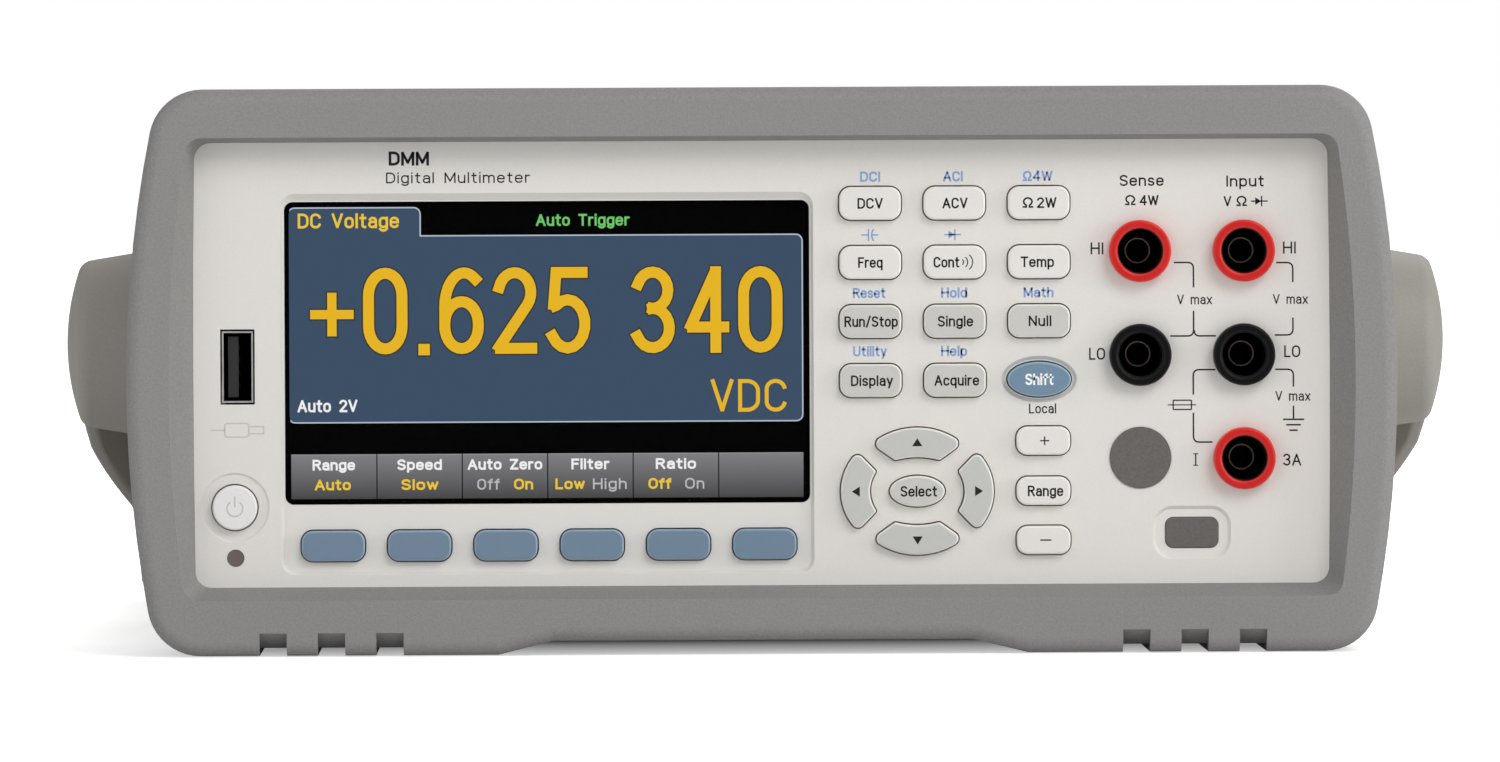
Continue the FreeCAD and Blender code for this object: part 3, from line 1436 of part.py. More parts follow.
def make_trigger_connectors():
    """Two bayonet sockets with their nuts, for the trigger input and the meter-complete output."""
    sockets = []
    bottom = "rear_face + trigger_proud - trigger_bore_depth"
    for index in range(2):
        x = f"trigger_column + {index} * trigger_pitch"
        barrel_rod = rod("bayonet_barrel", "y", "trigger_barrel", "trigger_behind + trigger_proud", x,
                         "rear_face - trigger_behind", "trigger_level")
        nut = rod("bayonet_nut", "y", "trigger_nut", "trigger_nut_thick", x, "rear_face", "trigger_level")
        shoulder = rod("bayonet_shoulder", "y", "trigger_shoulder", "trigger_shoulder_thick", x,
                       "rear_face - rear_plate - trigger_shoulder_thick", "trigger_level")
        lug = rod("bayonet_lug", "z", "trigger_lug", "trigger_lug_span", x, "rear_face + trigger_lug_back",
                  "trigger_level - trigger_lug_span / 2")
        hollow = rod("bayonet_hollow", "y", "trigger_bore", "trigger_bore_depth + 1", x, bottom,
                     "trigger_level")
        pin_rod = rod("bayonet_pin", "y", "trigger_pin", "trigger_pin_length", x, f"{bottom} - 1",
                      "trigger_level")
        shell = cut("bayonet_shell", join("bayonet_blank", barrel_rod, nut, shoulder, lug), hollow)
        sockets.append(join("bayonet", shell, pin_rod))
    finished(group("bayonet_pair", *sockets), "trigger_connectors")


# ---------------------------------------------------------------- bail handle

def hub_profile():
    """Half section of the hub along X: cup with a bearing tube in its middle."""
    inner = "(hub_width / 2 - hub_wall)"
    bore = "(pivot_width / 2 + pivot_running_gap)"
    sleeve = f"({bore} + bearing_wall)"
    floor = "(arm_root_half - arm_thick)"
    tube_start = "(hub_inner + pivot_flange_thick + bearing_gap)"
    return [("hub_inner", "hub_base_width / 2"), ("hub_rim_edge", "hub_width / 2"),
            ("hub_dome_edge", "hub_face_width / 2"), ("hub_outer", "0"), (floor, "0"), (floor, bore),
            (tube_start, bore), (tube_start, sleeve), (floor, sleeve), (floor, inner), ("hub_inner", inner)]


def mirrored(points):
    """The same points on the other side of the middle, walked the other way."""
    return [(f"-({x})", y) for x, y in reversed(points)]


def arm_plan(drawing):
    """Plan of the bail: two thin arms that bend inward, step parallel to clear the bumpers, and a grip."""
    far, near = "(grip_reach + grip_length / 2)", "(grip_reach - grip_length / 2)"
    outer = [("arm_root_half", "0"), ("arm_bend_half", "arm_bend"), ("arm_parallel_half", "arm_parallel"),
             ("arm_parallel_half", "arm_parallel_end"), ("arm_end_half", "arm_end"),
             ("arm_end_half - grip_shoulder", far)]
    inner = [("grip_inner_half - grip_inner_shoulder", near),
             ("grip_inner_half", f"{near} - grip_inner_rise"),
             ("arm_parallel_half - arm_thick", "arm_parallel_end"),
             ("arm_parallel_half - arm_thick", "arm_parallel"),
             ("arm_bend_half - arm_thick", "arm_bend"), ("arm_root_half - arm_thick", "0")]
    bend, step = "arm_radius", "arm_step_radius"
    bulges = {0: bend, 10: bend, 13: f"{step} + arm_thick", 21: f"{step} + arm_thick"}
    hollows = {1: step, 9: step, 12: f"{bend} - arm_thick", 22: f"{bend} - arm_thick"}
    outline(drawing, outer + mirrored(outer) + mirrored(inner) + inner, bulges, hollows)


def grip_corner(along, across):
    """Corner of the grip's section, which leans so that it lies level at rest."""
    lean = "grip_lean"
    return (f"grip_reach + ({along}) * cos({lean}) - ({across}) * sin({lean})",
            f"({along}) * sin({lean}) + ({across}) * cos({lean})")


def arm_side(drawing):
    """Side view of the bail in its own frame: hub end, tapering arm and the leaning grip."""
    half_length, half_thick = "grip_length / 2", "grip_thick / 2"
    corners = [("0", "-arm_root_width / 2"),
               ("arm_shoulder", "-hub_face_width / 2"),
               ("arm_neck", "-arm_neck_low"),
               grip_corner(f"-{half_length}", f"-{half_thick}"),
               grip_corner(half_length, f"-{half_thick}"),
               grip_corner(half_length, half_thick),
               grip_corner(f"-{half_length} - grip_lead", half_thick),
               ("arm_neck", "arm_neck_high"),
               ("arm_shoulder", "hub_face_width / 2"),
               ("0", "arm_root_width / 2")]
    outline(drawing, corners)


def runs_along_z(edge):
    start, end = edge.Vertexes[0].Point, edge.Vertexes[-1].Point
    return abs(end.z - start.z) > NEAR and math.hypot(end.x - start.x, end.y - start.y) < NEAR


def arm_edge(edge):
    """Whether an edge runs along one of the arms."""
    start, end = edge.Vertexes[0].Point, edge.Vertexes[-1].Point
    lengthwise = abs(end.y - start.y) > NEAR and not runs_along_z(edge)
    return lengthwise and number("hub_width / 2") < max(start.y, end.y) < number("arm_neck") + 1


def grip_edge(edge):
    """Whether an edge runs the width of the grip."""
    return abs(edge.Vertexes[0].Point.x - edge.Vertexes[-1].Point.x) > number("arm_root_half")


def make_handle_bail():
    """Moulded bail handle, drawn in its own frame: +Y along the arms, origin on the hinge."""
    body = new_body("handle_bail")
    plan = sketch(body, "XY_Plane")
    arm_plan(plan)
    arms = pad(body, plan, "2 * hub_width", both=True)
    bend = number("arm_parallel_end") + 1
    rounded(body, arms, lambda e: runs_along_z(e) and e.CenterOfMass.y > bend, "grip_corner_round")
    side = sketch(body, "YZ_Plane")
    rectangle(side, "-hub_width", "grip_reach + hub_width", "-2 * hub_width", "2 * hub_width")
    arm_side(side)
    trimmed = pocket(body, side, "3 * hub_outer", both=True)
    arms = rounded(body, trimmed, arm_edge, "arm_edge_round")
    rounded(body, arms, grip_edge, "grip_edge_round")
    doc.recompute()
    hub = turned(body, hub_profile(), {1: "hub_rim_round", 2: "hub_dome_radius"}, "H_Axis")
    doc.recompute()
    other = body.newObject("PartDesign::Mirrored", "Mirrored")
    other.Originals = [hub]
    mirror_plane = next(f for f in body.Origin.OriginFeatures if f.Role == "YZ_Plane")
    other.MirrorPlane = (mirror_plane, [""])
    body.Tip = other
    body.Placement = Placement(Vector(), Rotation(Vector(-1, 0, 0), number("grip_lean")))
    body.setExpression("Placement.Rotation.Angle", bound("grip_lean"))
    place(body, "0", "hub_back", "hub_level")
    finished(body, "handle_bail")


def make_handle_pivots():
    """Flanged stub on each side of the case, which the hub turns on."""
    stub_length = "arm_root_half - arm_thick - pivot_end_gap - case_width / 2"
    left_flange = rod("left_flange", "x", "pivot_flange", "pivot_flange_thick",
                      "-case_width / 2 - pivot_flange_thick", "hub_back", "hub_level")
    left_stub = rod("left_stub", "x", "pivot_width", stub_length, f"-case_width / 2 - ({stub_length})",
                    "hub_back", "hub_level")
    right_flange = rod("right_flange", "x", "pivot_flange", "pivot_flange_thick", "case_width / 2",
                       "hub_back", "hub_level")
    right_stub = rod("right_stub", "x", "pivot_width", stub_length, "case_width / 2", "hub_back", "hub_level")
    finished(group("pivot_pair", join("left_pivot", left_flange, left_stub),
                   join("right_pivot", right_flange, right_stub)), "handle_pivots")


# ---------------------------------------------------------------- fasteners

def screw(axis, x, y, z):
    """Pan-head screw with a hexagon socket; its head stands along the axis from the point."""
    back = {"y": (x, f"{y} - screw_length", z), "z": (x, y, f"{z} - screw_length")}[axis]
    head = rod("screw_head", axis, "screw_head", "screw_head_thick", x, y, z)
    shank = rod("screw_shank", axis, "screw_shank", "screw_length", *back)
    socket = doc.addObject("Part::Prism", "screw_socket")
    socket.Polygon = 6
    socket.setExpression("Circumradius", bound("screw_key / 2"))
    socket.setExpression("Height", bound("screw_head_thick"))
    socket.Placement = Placement(Vector(), DIRECTIONS[axis])
    top = {"y": (x, f"{y} + screw_head_thick / 2", z), "z": (x, y, f"{z} + screw_head_thick / 2")}[axis]
    place(socket, *top)
    return cut("screw", join("screw_blank", head, shank), socket)


def make_screws():
    """Rear panel screws, the earth screw and the main board's screws."""
    rear = [screw("y", x, "rear_face", z) for x, z in REAR_SCREWS]
    board_top = "main_board_level + main_board_thick"
    board = [screw("z", x, y, board_top) for x, y in BOARD_SCREWS]
    finished(group("screw_set", *rear, *board), "screws")


# ---------------------------------------------------------------- checks and export

def check_document():
    """Every object has to be computed, whole and valid, and every cut has to remove something."""
    for thing in doc.Objects:
        if {"Invalid", "Error"} & set(thing.State):
            raise RuntimeError(f"{thing.Name} failed: {thing.State}")
        if thing.TypeId in ("PartDesign::Pocket", "PartDesign::SubtractiveLoft"):
            base = thing.BaseFeature
            if thing.Shape.Volume > base.Shape.Volume - NEAR:
                raise RuntimeError(f"{thing.Name} of {thing.getParent().Label} removes nothing")
    for part in SUBPARTS:
        if part.Shape.isNull() or not part.Shape.isValid():
            raise RuntimeError(f"{part.Label} has no valid shape")


def export():
    os.makedirs("parts", exist_ok=True)
    for part in SUBPARTS:
        part.Shape.exportStep(os.path.join("parts", f"{part.Label}.step"))


for key in KEYS:
    make_key(*key)
make_case_sleeve()
make_chassis_tray()
make_front_bezel()
make_front_bumper()
make_rear_bumper()
make_display_window()
make_lcd_module()
make_front_board()
make_keypad_mat()
make_usb_host()
make_indicator_lens()
make_blank_plugs()
for jack, (jack_x, jack_z) in JACKS.items():
    make_jack(jack, jack_x, jack_z)
make_jack_contacts()
make_main_board()
make_power_transformer()
make_measurement_shield()
make_rear_panel()
make_mains_inlet()
make_inlet_pins()
make_fuse_drawer()
make_usb_device_socket()
make_lan_socket()
make_trigger_connectors()
make_handle_bail()
make_handle_pivots()
make_screws()
doc.recompute()
check_document()
export()
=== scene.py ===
"""Looks of the bench multimeter, in metres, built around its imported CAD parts."""
import json
import math

import bmesh
import bpy
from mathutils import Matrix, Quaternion, Vector


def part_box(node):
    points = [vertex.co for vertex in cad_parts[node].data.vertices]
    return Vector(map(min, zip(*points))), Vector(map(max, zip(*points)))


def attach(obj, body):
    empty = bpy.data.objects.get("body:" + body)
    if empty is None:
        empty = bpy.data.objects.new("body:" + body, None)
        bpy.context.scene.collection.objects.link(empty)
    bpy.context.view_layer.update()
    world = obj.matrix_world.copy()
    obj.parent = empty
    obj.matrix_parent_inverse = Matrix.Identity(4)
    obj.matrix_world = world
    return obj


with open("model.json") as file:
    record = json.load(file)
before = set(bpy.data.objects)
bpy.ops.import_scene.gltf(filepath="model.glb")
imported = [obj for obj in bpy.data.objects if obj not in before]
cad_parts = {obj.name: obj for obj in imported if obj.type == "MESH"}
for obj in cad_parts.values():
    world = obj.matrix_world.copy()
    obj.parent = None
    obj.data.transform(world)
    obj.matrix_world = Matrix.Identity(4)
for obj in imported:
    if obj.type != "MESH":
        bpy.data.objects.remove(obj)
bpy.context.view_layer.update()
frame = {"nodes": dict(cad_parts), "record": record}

NODES = frame["nodes"]
MM = 0.001
BLACK = (0.0, 0.0, 0.0, 1.0)
WHITE = (1.0, 1.0, 1.0, 1.0)
# pitch of the display's dots and thickness of a core sheet, in millimetres, and how dark the dots' gaps are
DOT_PITCH = 0.2
LAMINATION = 0.5
DOT_DEPTH = 0.06


# ---------------------------------------------------------------- materials

def linear(red, green, blue):
    """Scene-linear colour of an sRGB colour whose channels run from 0 to 255."""
    def channel(value):
        value /= 255
        return value / 12.92 if value <= 0.04045 else ((value + 0.055) / 1.055) ** 2.4
    return (channel(red), channel(green), channel(blue), 1.0)


def scaled(colour, factor):
    """A colour made lighter or darker."""
    return tuple(min(channel * factor, 1.0) for channel in colour[:3]) + (1.0,)


class Shader:
    """A material's node tree, with the few node kinds that these surfaces use."""

    def __init__(self, name, roughness, metallic=0.0, specular=0.5):
        self.material = bpy.data.materials.new(name)
        self.material.use_nodes = True
        self.tree = self.material.node_tree
        self.surface = next(n for n in self.tree.nodes if n.type == "BSDF_PRINCIPLED")
        self.surface.inputs["Roughness"].default_value = roughness
        self.surface.inputs["Metallic"].default_value = metallic
        self.surface.inputs["Specular IOR Level"].default_value = specular
        self.place = self.add("ShaderNodeTexCoord").outputs["Object"]
        self.height = None

    def add(self, kind, **inputs):
        """A new node, whose inputs are values or another node's outputs."""
        node = self.tree.nodes.new(kind)
        for key, value in inputs.items():
            self.feed(node.inputs[key.replace("_", " ")], value)
        return node

    def feed(self, socket, value):
        if isinstance(value, bpy.types.NodeSocket):
            self.tree.links.new(value, socket)
        else:
            socket.default_value = value

    def stretched(self, factors):
        """Object coordinates drawn out along some axes, for brushed and wound surfaces."""
        mapping = self.add("ShaderNodeMapping", Vector=self.place, Scale=factors)
        return mapping.outputs["Vector"]

    def noise(self, size, detail=2.0, place=None):
        """Noise from 0 to 1, whose blotches are about this many millimetres across."""
        node = self.add("ShaderNodeTexNoise", Vector=place or self.place, Scale=1 / (size * MM),
                        Detail=detail)
        return node.outputs["Fac"]

    def ranged(self, value, low, high, start=0.3, end=0.7):
        """A value from one range carried over to another."""
        node = self.add("ShaderNodeMapRange", Value=value)
        node.inputs["From Min"].default_value = start
        node.inputs["From Max"].default_value = end
        self.feed(node.inputs["To Min"], low)
        self.feed(node.inputs["To Max"], high)
        return node.outputs["Result"]

    def mixed(self, factor, first, second):
        """One colour passing into another."""
        node = self.tree.nodes.new("ShaderNodeMix")
        node.data_type = "RGBA"
        self.feed(node.inputs[0], factor)
        self.feed(node.inputs[6], first)
        self.feed(node.inputs[7], second)
        return node.outputs[2]

    def maths(self, operation, first, second=0.0):
        node = self.tree.nodes.new("ShaderNodeMath")
        node.operation = operation
        self.feed(node.inputs[0], first)
        self.feed(node.inputs[1], second)
        return node.outputs[0]

    def facing(self):
        """1 where the surface faces the front squarely, falling to 0 where it turns away."""
        normal = self.add("ShaderNodeTexCoord").outputs["Normal"]
        parts = self.add("ShaderNodeSeparateXYZ", Vector=normal)
        return self.maths("ABSOLUTE", parts.outputs["Y"])

    def colour(self, value):
        self.feed(self.surface.inputs["Base Color"], value)

    def rough(self, value):
        self.feed(self.surface.inputs["Roughness"], value)

    def bump(self, height, depth):
        """Relief of this many millimetres, over what is there already."""
        node = self.add("ShaderNodeBump", Strength=1.0, Distance=depth * MM, Height=height)
        if self.height is not None:
            self.feed(node.inputs["Normal"], self.height)
        self.height = node.outputs["Normal"]
        self.feed(self.surface.inputs["Normal"], self.height)


def moulded(name, colour, roughness, grain=0.35, relief=0.012, speckle=0.03, edge=None):
    """Moulded plastic or paint: a fine grain in relief and colour over a slow drift of tone, with a painted
    highlight in the edge colour where the surface turns away from the front.
    """
    shader = Shader(name, roughness, specular=0.4)
    fine = shader.noise(grain, 3.0)
    slow = shader.noise(45.0, 2.0)
    light, dark = scaled(colour, 1 + speckle), scaled(colour, 1 - speckle)
    tone = shader.mixed(shader.ranged(fine, 0.0, 1.0), dark, light)
    # painted highlight: the lighter edge colour is laid on where the surface turns away from the front, for
    # light caught by rounded edges
    if edge is not None:
        edge_highlight_mask = shader.ranged(shader.facing(), 1.0, 0.0, 0.80, 0.995)
        tone = shader.mixed(edge_highlight_mask, tone, edge)
    drifted = shader.mixed(shader.ranged(slow, 0.0, 0.04), tone, scaled(colour, 0.75))
    shader.colour(drifted)
    shader.rough(shader.ranged(fine, roughness - 0.05, roughness + 0.05))
    shader.bump(fine, relief)
    return shader.material


def rubber(name, colour, roughness):
    """Rubber with a coarse spark-eroded grain and a finer one, its colour darker in the grain's hollows and
    lighter on its raised points.
    """
    shader = Shader(name, roughness, specular=0.35)
    coarse = shader.noise(0.42, 3.0)
    fine = shader.noise(0.22, 2.0)
    slow = shader.noise(60.0, 2.0)
    grain = shader.maths("MULTIPLY", shader.maths("ADD", coarse, fine), 0.5)
    raised = shader.ranged(grain, 0.0, 1.0, 0.38, 0.62)
    tone = shader.mixed(raised, scaled(colour, 0.90), scaled(colour, 1.10))
    shader.colour(shader.mixed(shader.ranged(slow, 0.0, 0.10), tone, scaled(colour, 0.7)))
    shader.rough(shader.ranged(grain, roughness + 0.08, roughness - 0.08, 0.38, 0.62))
    shader.bump(coarse, 0.03)
    shader.bump(fine, 0.012)
    return shader.material


def metal(name, colour, roughness, along=(1.0, 1.0, 1.0)):
    """Plated or brushed metal, whose grain is drawn out along one axis."""
    shader = Shader(name, roughness, metallic=1.0)
    streak = shader.noise(0.4, 3.0, shader.stretched(along))
    cloud = shader.noise(9.0, 3.0)
    tone = shader.mixed(shader.ranged(streak, 0.0, 1.0), scaled(colour, 0.88), scaled(colour, 1.08))
    shader.colour(shader.mixed(shader.ranged(cloud, 0.0, 0.25), tone, scaled(colour, 0.72)))
    shader.rough(shader.ranged(cloud, roughness - 0.06, roughness + 0.10))
    shader.bump(streak, 0.003)
    return shader.material


def glossy(name, colour, roughness, coat=0.0, edge=None, specular=0.5):
    """Smooth hard plastic with faint handling marks, and a painted highlight in the edge colour where the
    surface turns away from the front.
    """
    shader = Shader(name, roughness, specular=specular)
    shader.surface.inputs["Coat Weight"].default_value = coat
    shader.surface.inputs["Coat Roughness"].default_value = 0.15
    marks = shader.noise(2.4, 4.0)
    fine = shader.noise(0.25, 2.0)
    tone = shader.mixed(shader.ranged(marks, 0.0, 1.0), scaled(colour, 0.96), scaled(colour, 1.04))
    # painted highlight: the lighter edge colour is laid on where the surface turns away from the front
    if edge is not None:
        tone = shader.mixed(shader.ranged(shader.facing(), 1.0, 0.0, 0.70, 0.98), tone, edge)
    shader.colour(tone)
    shader.rough(shader.ranged(marks, roughness - 0.05, roughness + 0.08))
    shader.bump(fine, 0.002)
    return shader.material


def circuit_board(name):
    """Green solder mask over copper tracks, with pads along a grid."""
    shader = Shader(name, 0.35)
    tracks = shader.add("ShaderNodeTexBrick", Vector=shader.place, Scale=1 / (9 * MM))
    tracks.inputs["Color1"].default_value = linear(24, 92, 52)
    tracks.inputs["Color2"].default_value = linear(20, 80, 46)
    tracks.inputs["Mortar"].default_value = linear(44, 122, 70)
    tracks.inputs["Mortar Size"].default_value = 0.03
    pads = shader.add("ShaderNodeTexVoronoi", Vector=shader.place, Scale=1 / (4 * MM))
    spot = shader.ranged(pads.outputs["Distance"], 1.0, 0.0, 0.10, 0.13)
    shader.colour(shader.mixed(spot, tracks.outputs["Color"], linear(190, 178, 120)))
    shader.bump(tracks.outputs["Fac"], 0.03)
    return shader.material


def laminated_iron(name):
    """Varnished core sheets 0.5 mm thick, seen on edge."""
    shader = Shader(name, 0.4)
    parts = shader.add("ShaderNodeSeparateXYZ", Vector=shader.place)
    sheets = shader.maths("SINE", shader.maths("MULTIPLY", parts.outputs["Y"], math.tau / (LAMINATION * MM)))
    level = shader.ranged(sheets, 0.0, 1.0, -1.0, 1.0)
    shader.colour(shader.mixed(level, linear(38, 36, 36), linear(78, 74, 70)))
    shader.bump(level, 0.06)
    return shader.material


def window_glass(name):
    """Thin clear window, which shows the display and a soft reflection."""
    shader = Shader(name, 0.06, specular=0.04)
    shader.surface.inputs["Base Color"].default_value = linear(8, 9, 11)
    shader.surface.inputs["Alpha"].default_value = 0.05
    smear = shader.noise(14.0, 3.0)
    shader.rough(shader.ranged(smear, 0.04, 0.12))
    return shader.material


def lit(name, colour, low=None, levels=(0.0, 1.0)):
    """Lit part of the display: its colour broken by the picture's dots, passing into another lower down."""
    shader = Shader(name, 0.5, specular=0.0)
    shader.surface.inputs["Base Color"].default_value = (0.004, 0.004, 0.004, 1.0)
    parts = shader.add("ShaderNodeSeparateXYZ", Vector=shader.place)
    waves = [shader.maths("SINE", shader.maths("MULTIPLY", parts.outputs[axis], math.tau / (DOT_PITCH * MM)))
             for axis in ("X", "Z")]
    dots = shader.ranged(shader.maths("ADD", *waves), 0.0, 1.0, -2.0, 2.0)
    tone = colour
    if low is not None:
        drop = shader.ranged(parts.outputs["Z"], 1.0, 0.0, levels[0] * MM, levels[1] * MM)
        tone = shader.mixed(drop, colour, low)
    shader.feed(shader.surface.inputs["Emission Color"],
                shader.mixed(shader.maths("MULTIPLY", dots, DOT_DEPTH), tone, BLACK))
    shader.surface.inputs["Emission Strength"].default_value = 1.0
    return shader.material


def ink(name, colour):
    """Printed ink, a little uneven like a screen print."""
    shader = Shader(name, 0.55, specular=0.3)
    spots = shader.noise(0.18, 2.0)
    shader.colour(shader.mixed(shader.ranged(spots, 0.0, 1.0), scaled(colour, 0.88), scaled(colour, 1.12)))
    shader.bump(spots, 0.004)
    return shader.material


# painted highlight: the keys' edge colours are lighter than their faces, for the light caught by their
# rounded edges
KEY_EDGE_HIGHLIGHT = linear(232, 229, 222)
MATERIALS = {
    "case_paint": moulded("case_paint", linear(208, 205, 198), 0.5, grain=0.55, relief=0.03),
    "rear_paint": moulded("rear_paint", linear(150, 150, 146), 0.5, grain=0.55, relief=0.03),
    "plated_sheet": metal("plated_sheet", linear(190, 190, 184), 0.38, (1.0, 0.05, 1.0)),
    "panel_plastic": moulded("panel_plastic", linear(222, 219, 214), 0.5, grain=0.3, relief=0.010,
                             speckle=0.02),
    "bumper_rubber": rubber("bumper_rubber", linear(138, 137, 135), 0.72),
    "handle_plastic": moulded("handle_plastic", linear(152, 148, 142), 0.6, grain=0.45, relief=0.02,
                              speckle=0.05),
    "pivot_plastic": moulded("pivot_plastic", linear(96, 94, 91), 0.6),
    "window_glass": window_glass("window_glass"),
    "display_face": glossy("display_face", linear(3, 3, 3), 0.35, specular=0.02),
    "keypad_silicone": moulded("keypad_silicone", linear(96, 96, 96), 0.8, grain=0.8),
    "circuit_board": circuit_board("circuit_board"),
    "white_key": moulded("white_key", linear(226, 223, 218), 0.42, grain=0.25, relief=0.006, speckle=0.015,
                         edge=linear(236, 233, 228)),
    "grey_key": moulded("grey_key", linear(199, 198, 193), 0.42, grain=0.25, relief=0.006, speckle=0.02,
                        edge=KEY_EDGE_HIGHLIGHT),
    "arrow_key": moulded("arrow_key", linear(194, 195, 191), 0.42, grain=0.25, relief=0.006, speckle=0.02,
                         edge=KEY_EDGE_HIGHLIGHT),
    "blue_softkey": moulded("blue_softkey", linear(110, 132, 154), 0.42, grain=0.25, relief=0.006,
                            speckle=0.02, edge=linear(146, 166, 184)),
    "shift_key": moulded("shift_key", linear(110, 137, 160), 0.4, grain=0.25, relief=0.006, speckle=0.02,
                         edge=linear(150, 172, 188)),
    "power_key": moulded("power_key", linear(230, 228, 226), 0.4, grain=0.25, relief=0.006, speckle=0.015),
    # painted highlight: the jacks' edge colours are lighter than their bodies, for the light caught by their
    # rounded rims
    "jack_red": glossy("jack_red", linear(200, 26, 24), 0.34, 0.04, edge=linear(222, 62, 54), specular=0.25),
    "jack_black": glossy("jack_black", linear(8, 7, 7), 0.38, edge=linear(40, 39, 40), specular=0.12),
    "contact_metal": metal("contact_metal", linear(34, 28, 25), 0.5, (1.0, 0.2, 1.0)),
    "connector_metal": metal("connector_metal", linear(206, 206, 202), 0.3, (1.0, 0.1, 1.0)),
    "black_plastic": moulded("black_plastic", linear(36, 36, 38), 0.5, grain=0.4),
    "blank_plastic": moulded("blank_plastic", linear(99, 96, 94), 0.75, grain=0.4, relief=0.04,
                             speckle=0.14),
    "indicator_plastic": glossy("indicator_plastic", linear(104, 92, 84), 0.35, 0.1),
    "transformer_iron": laminated_iron("transformer_iron"),
    "screw_steel": metal("screw_steel", linear(196, 194, 188), 0.32),
}
DARK_INK = ink("dark_ink", linear(20, 20, 22))
BLUE_INK = ink("blue_ink", linear(132, 158, 203))
WHITE_INK = ink("white_ink", linear(245, 245, 245))
# painted shade: grey lines standing for the light and shade of faint moulded relief
RELIEF_PAINTED_SHADE = ink("relief_painted_shade", linear(196, 194, 188))
LINER_BLACK = moulded("liner_black", linear(8, 6, 6), 0.45, grain=0.3)
CONTACT_RIM_HIGHLIGHT = metal("contact_rim_highlight", linear(206, 176, 160), 0.5)
# painted highlight: a light ring standing for the light caught by each contact's rim, against the dark
# contacts
CONTACT_GOLD = metal("contact_gold", linear(132, 98, 50), 0.4, (1.0, 0.1, 1.0))
FIELD_BLUE = lit("field_blue", linear(63, 83, 107))
FIELD_RIM = lit("field_rim", linear(188, 200, 214))
DIGIT_YELLOW = lit("digit_yellow", linear(242, 190, 40))
DIGIT_SHADE = lit("digit_shade", linear(58, 58, 52))
MENU_YELLOW = lit("menu_yellow", linear(246, 206, 60))
MENU_WHITE = lit("menu_white", linear(250, 250, 250))
MENU_GREY = lit("menu_grey", linear(196, 196, 198))
STATUS_GREEN = lit("status_green", linear(118, 208, 112))
CELL_GREY = lit("cell_grey", linear(134, 134, 137), low=linear(74, 74, 75), levels=(28.5, 36.6))
CELL_RIM = lit("cell_rim", linear(158, 158, 160))


def port_shell_painted_shade(name, front):
    """Plated steel that is bright at its front edge, at this level, and darkened inside by painted shade."""
    shader = Shader(name, 0.35, metallic=1.0)
    parts = shader.add("ShaderNodeSeparateXYZ", Vector=shader.place)
    depth = shader.ranged(parts.outputs["Y"], 0.0, 1.0, (front + 0.15) * MM, (front + 0.6) * MM)
    cloud = shader.noise(1.2, 3.0)
    bright = shader.mixed(cloud, linear(170, 170, 168), linear(216, 216, 212))
    # painted shade: deeper than its front edge, the shell's colour falls to near black
    shader.colour(shader.mixed(depth, bright, linear(20, 18, 17)))
    shader.rough(shader.ranged(depth, 0.3, 0.8, 0.0, 1.0))
    shader.bump(cloud, 0.003)
    return shader.material


def finish_nodes():
    """Gives every CAD part the material of its slot, and the host port its inside darkened by painted shade.
    """
    for part in frame["record"]["subparts"]:
        node = NODES[part["node"]]
        node.data.materials.clear()
        node.data.materials.append(MATERIALS[part["material_slot"]])
    shell = NODES["usb_host_shell"].data.materials
    shell.clear()
    shell.append(port_shell_painted_shade("port_shell_painted_shade", front_of("usb_host_shell")))


# ------------------------------------------------------ flat shapes, in millimetres, X right and Z up

PRINT_THICK = 0.02
NEAR = 0.001
PATH_STEPS = 5
# in heights of a capital
LETTER_GAP = 0.27
SPACE = 0.34
DESCENT = -0.28
X_HEIGHT = 0.72
# a corner sharper than this cosine of half its turn ends the stroke, this many widths past the corner
SHARPEST = 0.70
CORNER_REACH = 0.3


def bow(x, z, across, up, start, end, steps=14):
    """Points along a part of an ellipse, whose angles are in degrees from the X axis."""
    turn = math.radians(end - start) / steps
    return [(x + across * math.cos(math.radians(start) + i * turn),
             z + up * math.sin(math.radians(start) + i * turn)) for i in range(steps + 1)]


def ring(half, low, high, bend):
    """Upright closed loop with round ends, whose left side is at 0."""
    return bow(half, high - bend, half, bend, 0, 180) + bow(half, low + bend, half, bend, 180, 360)


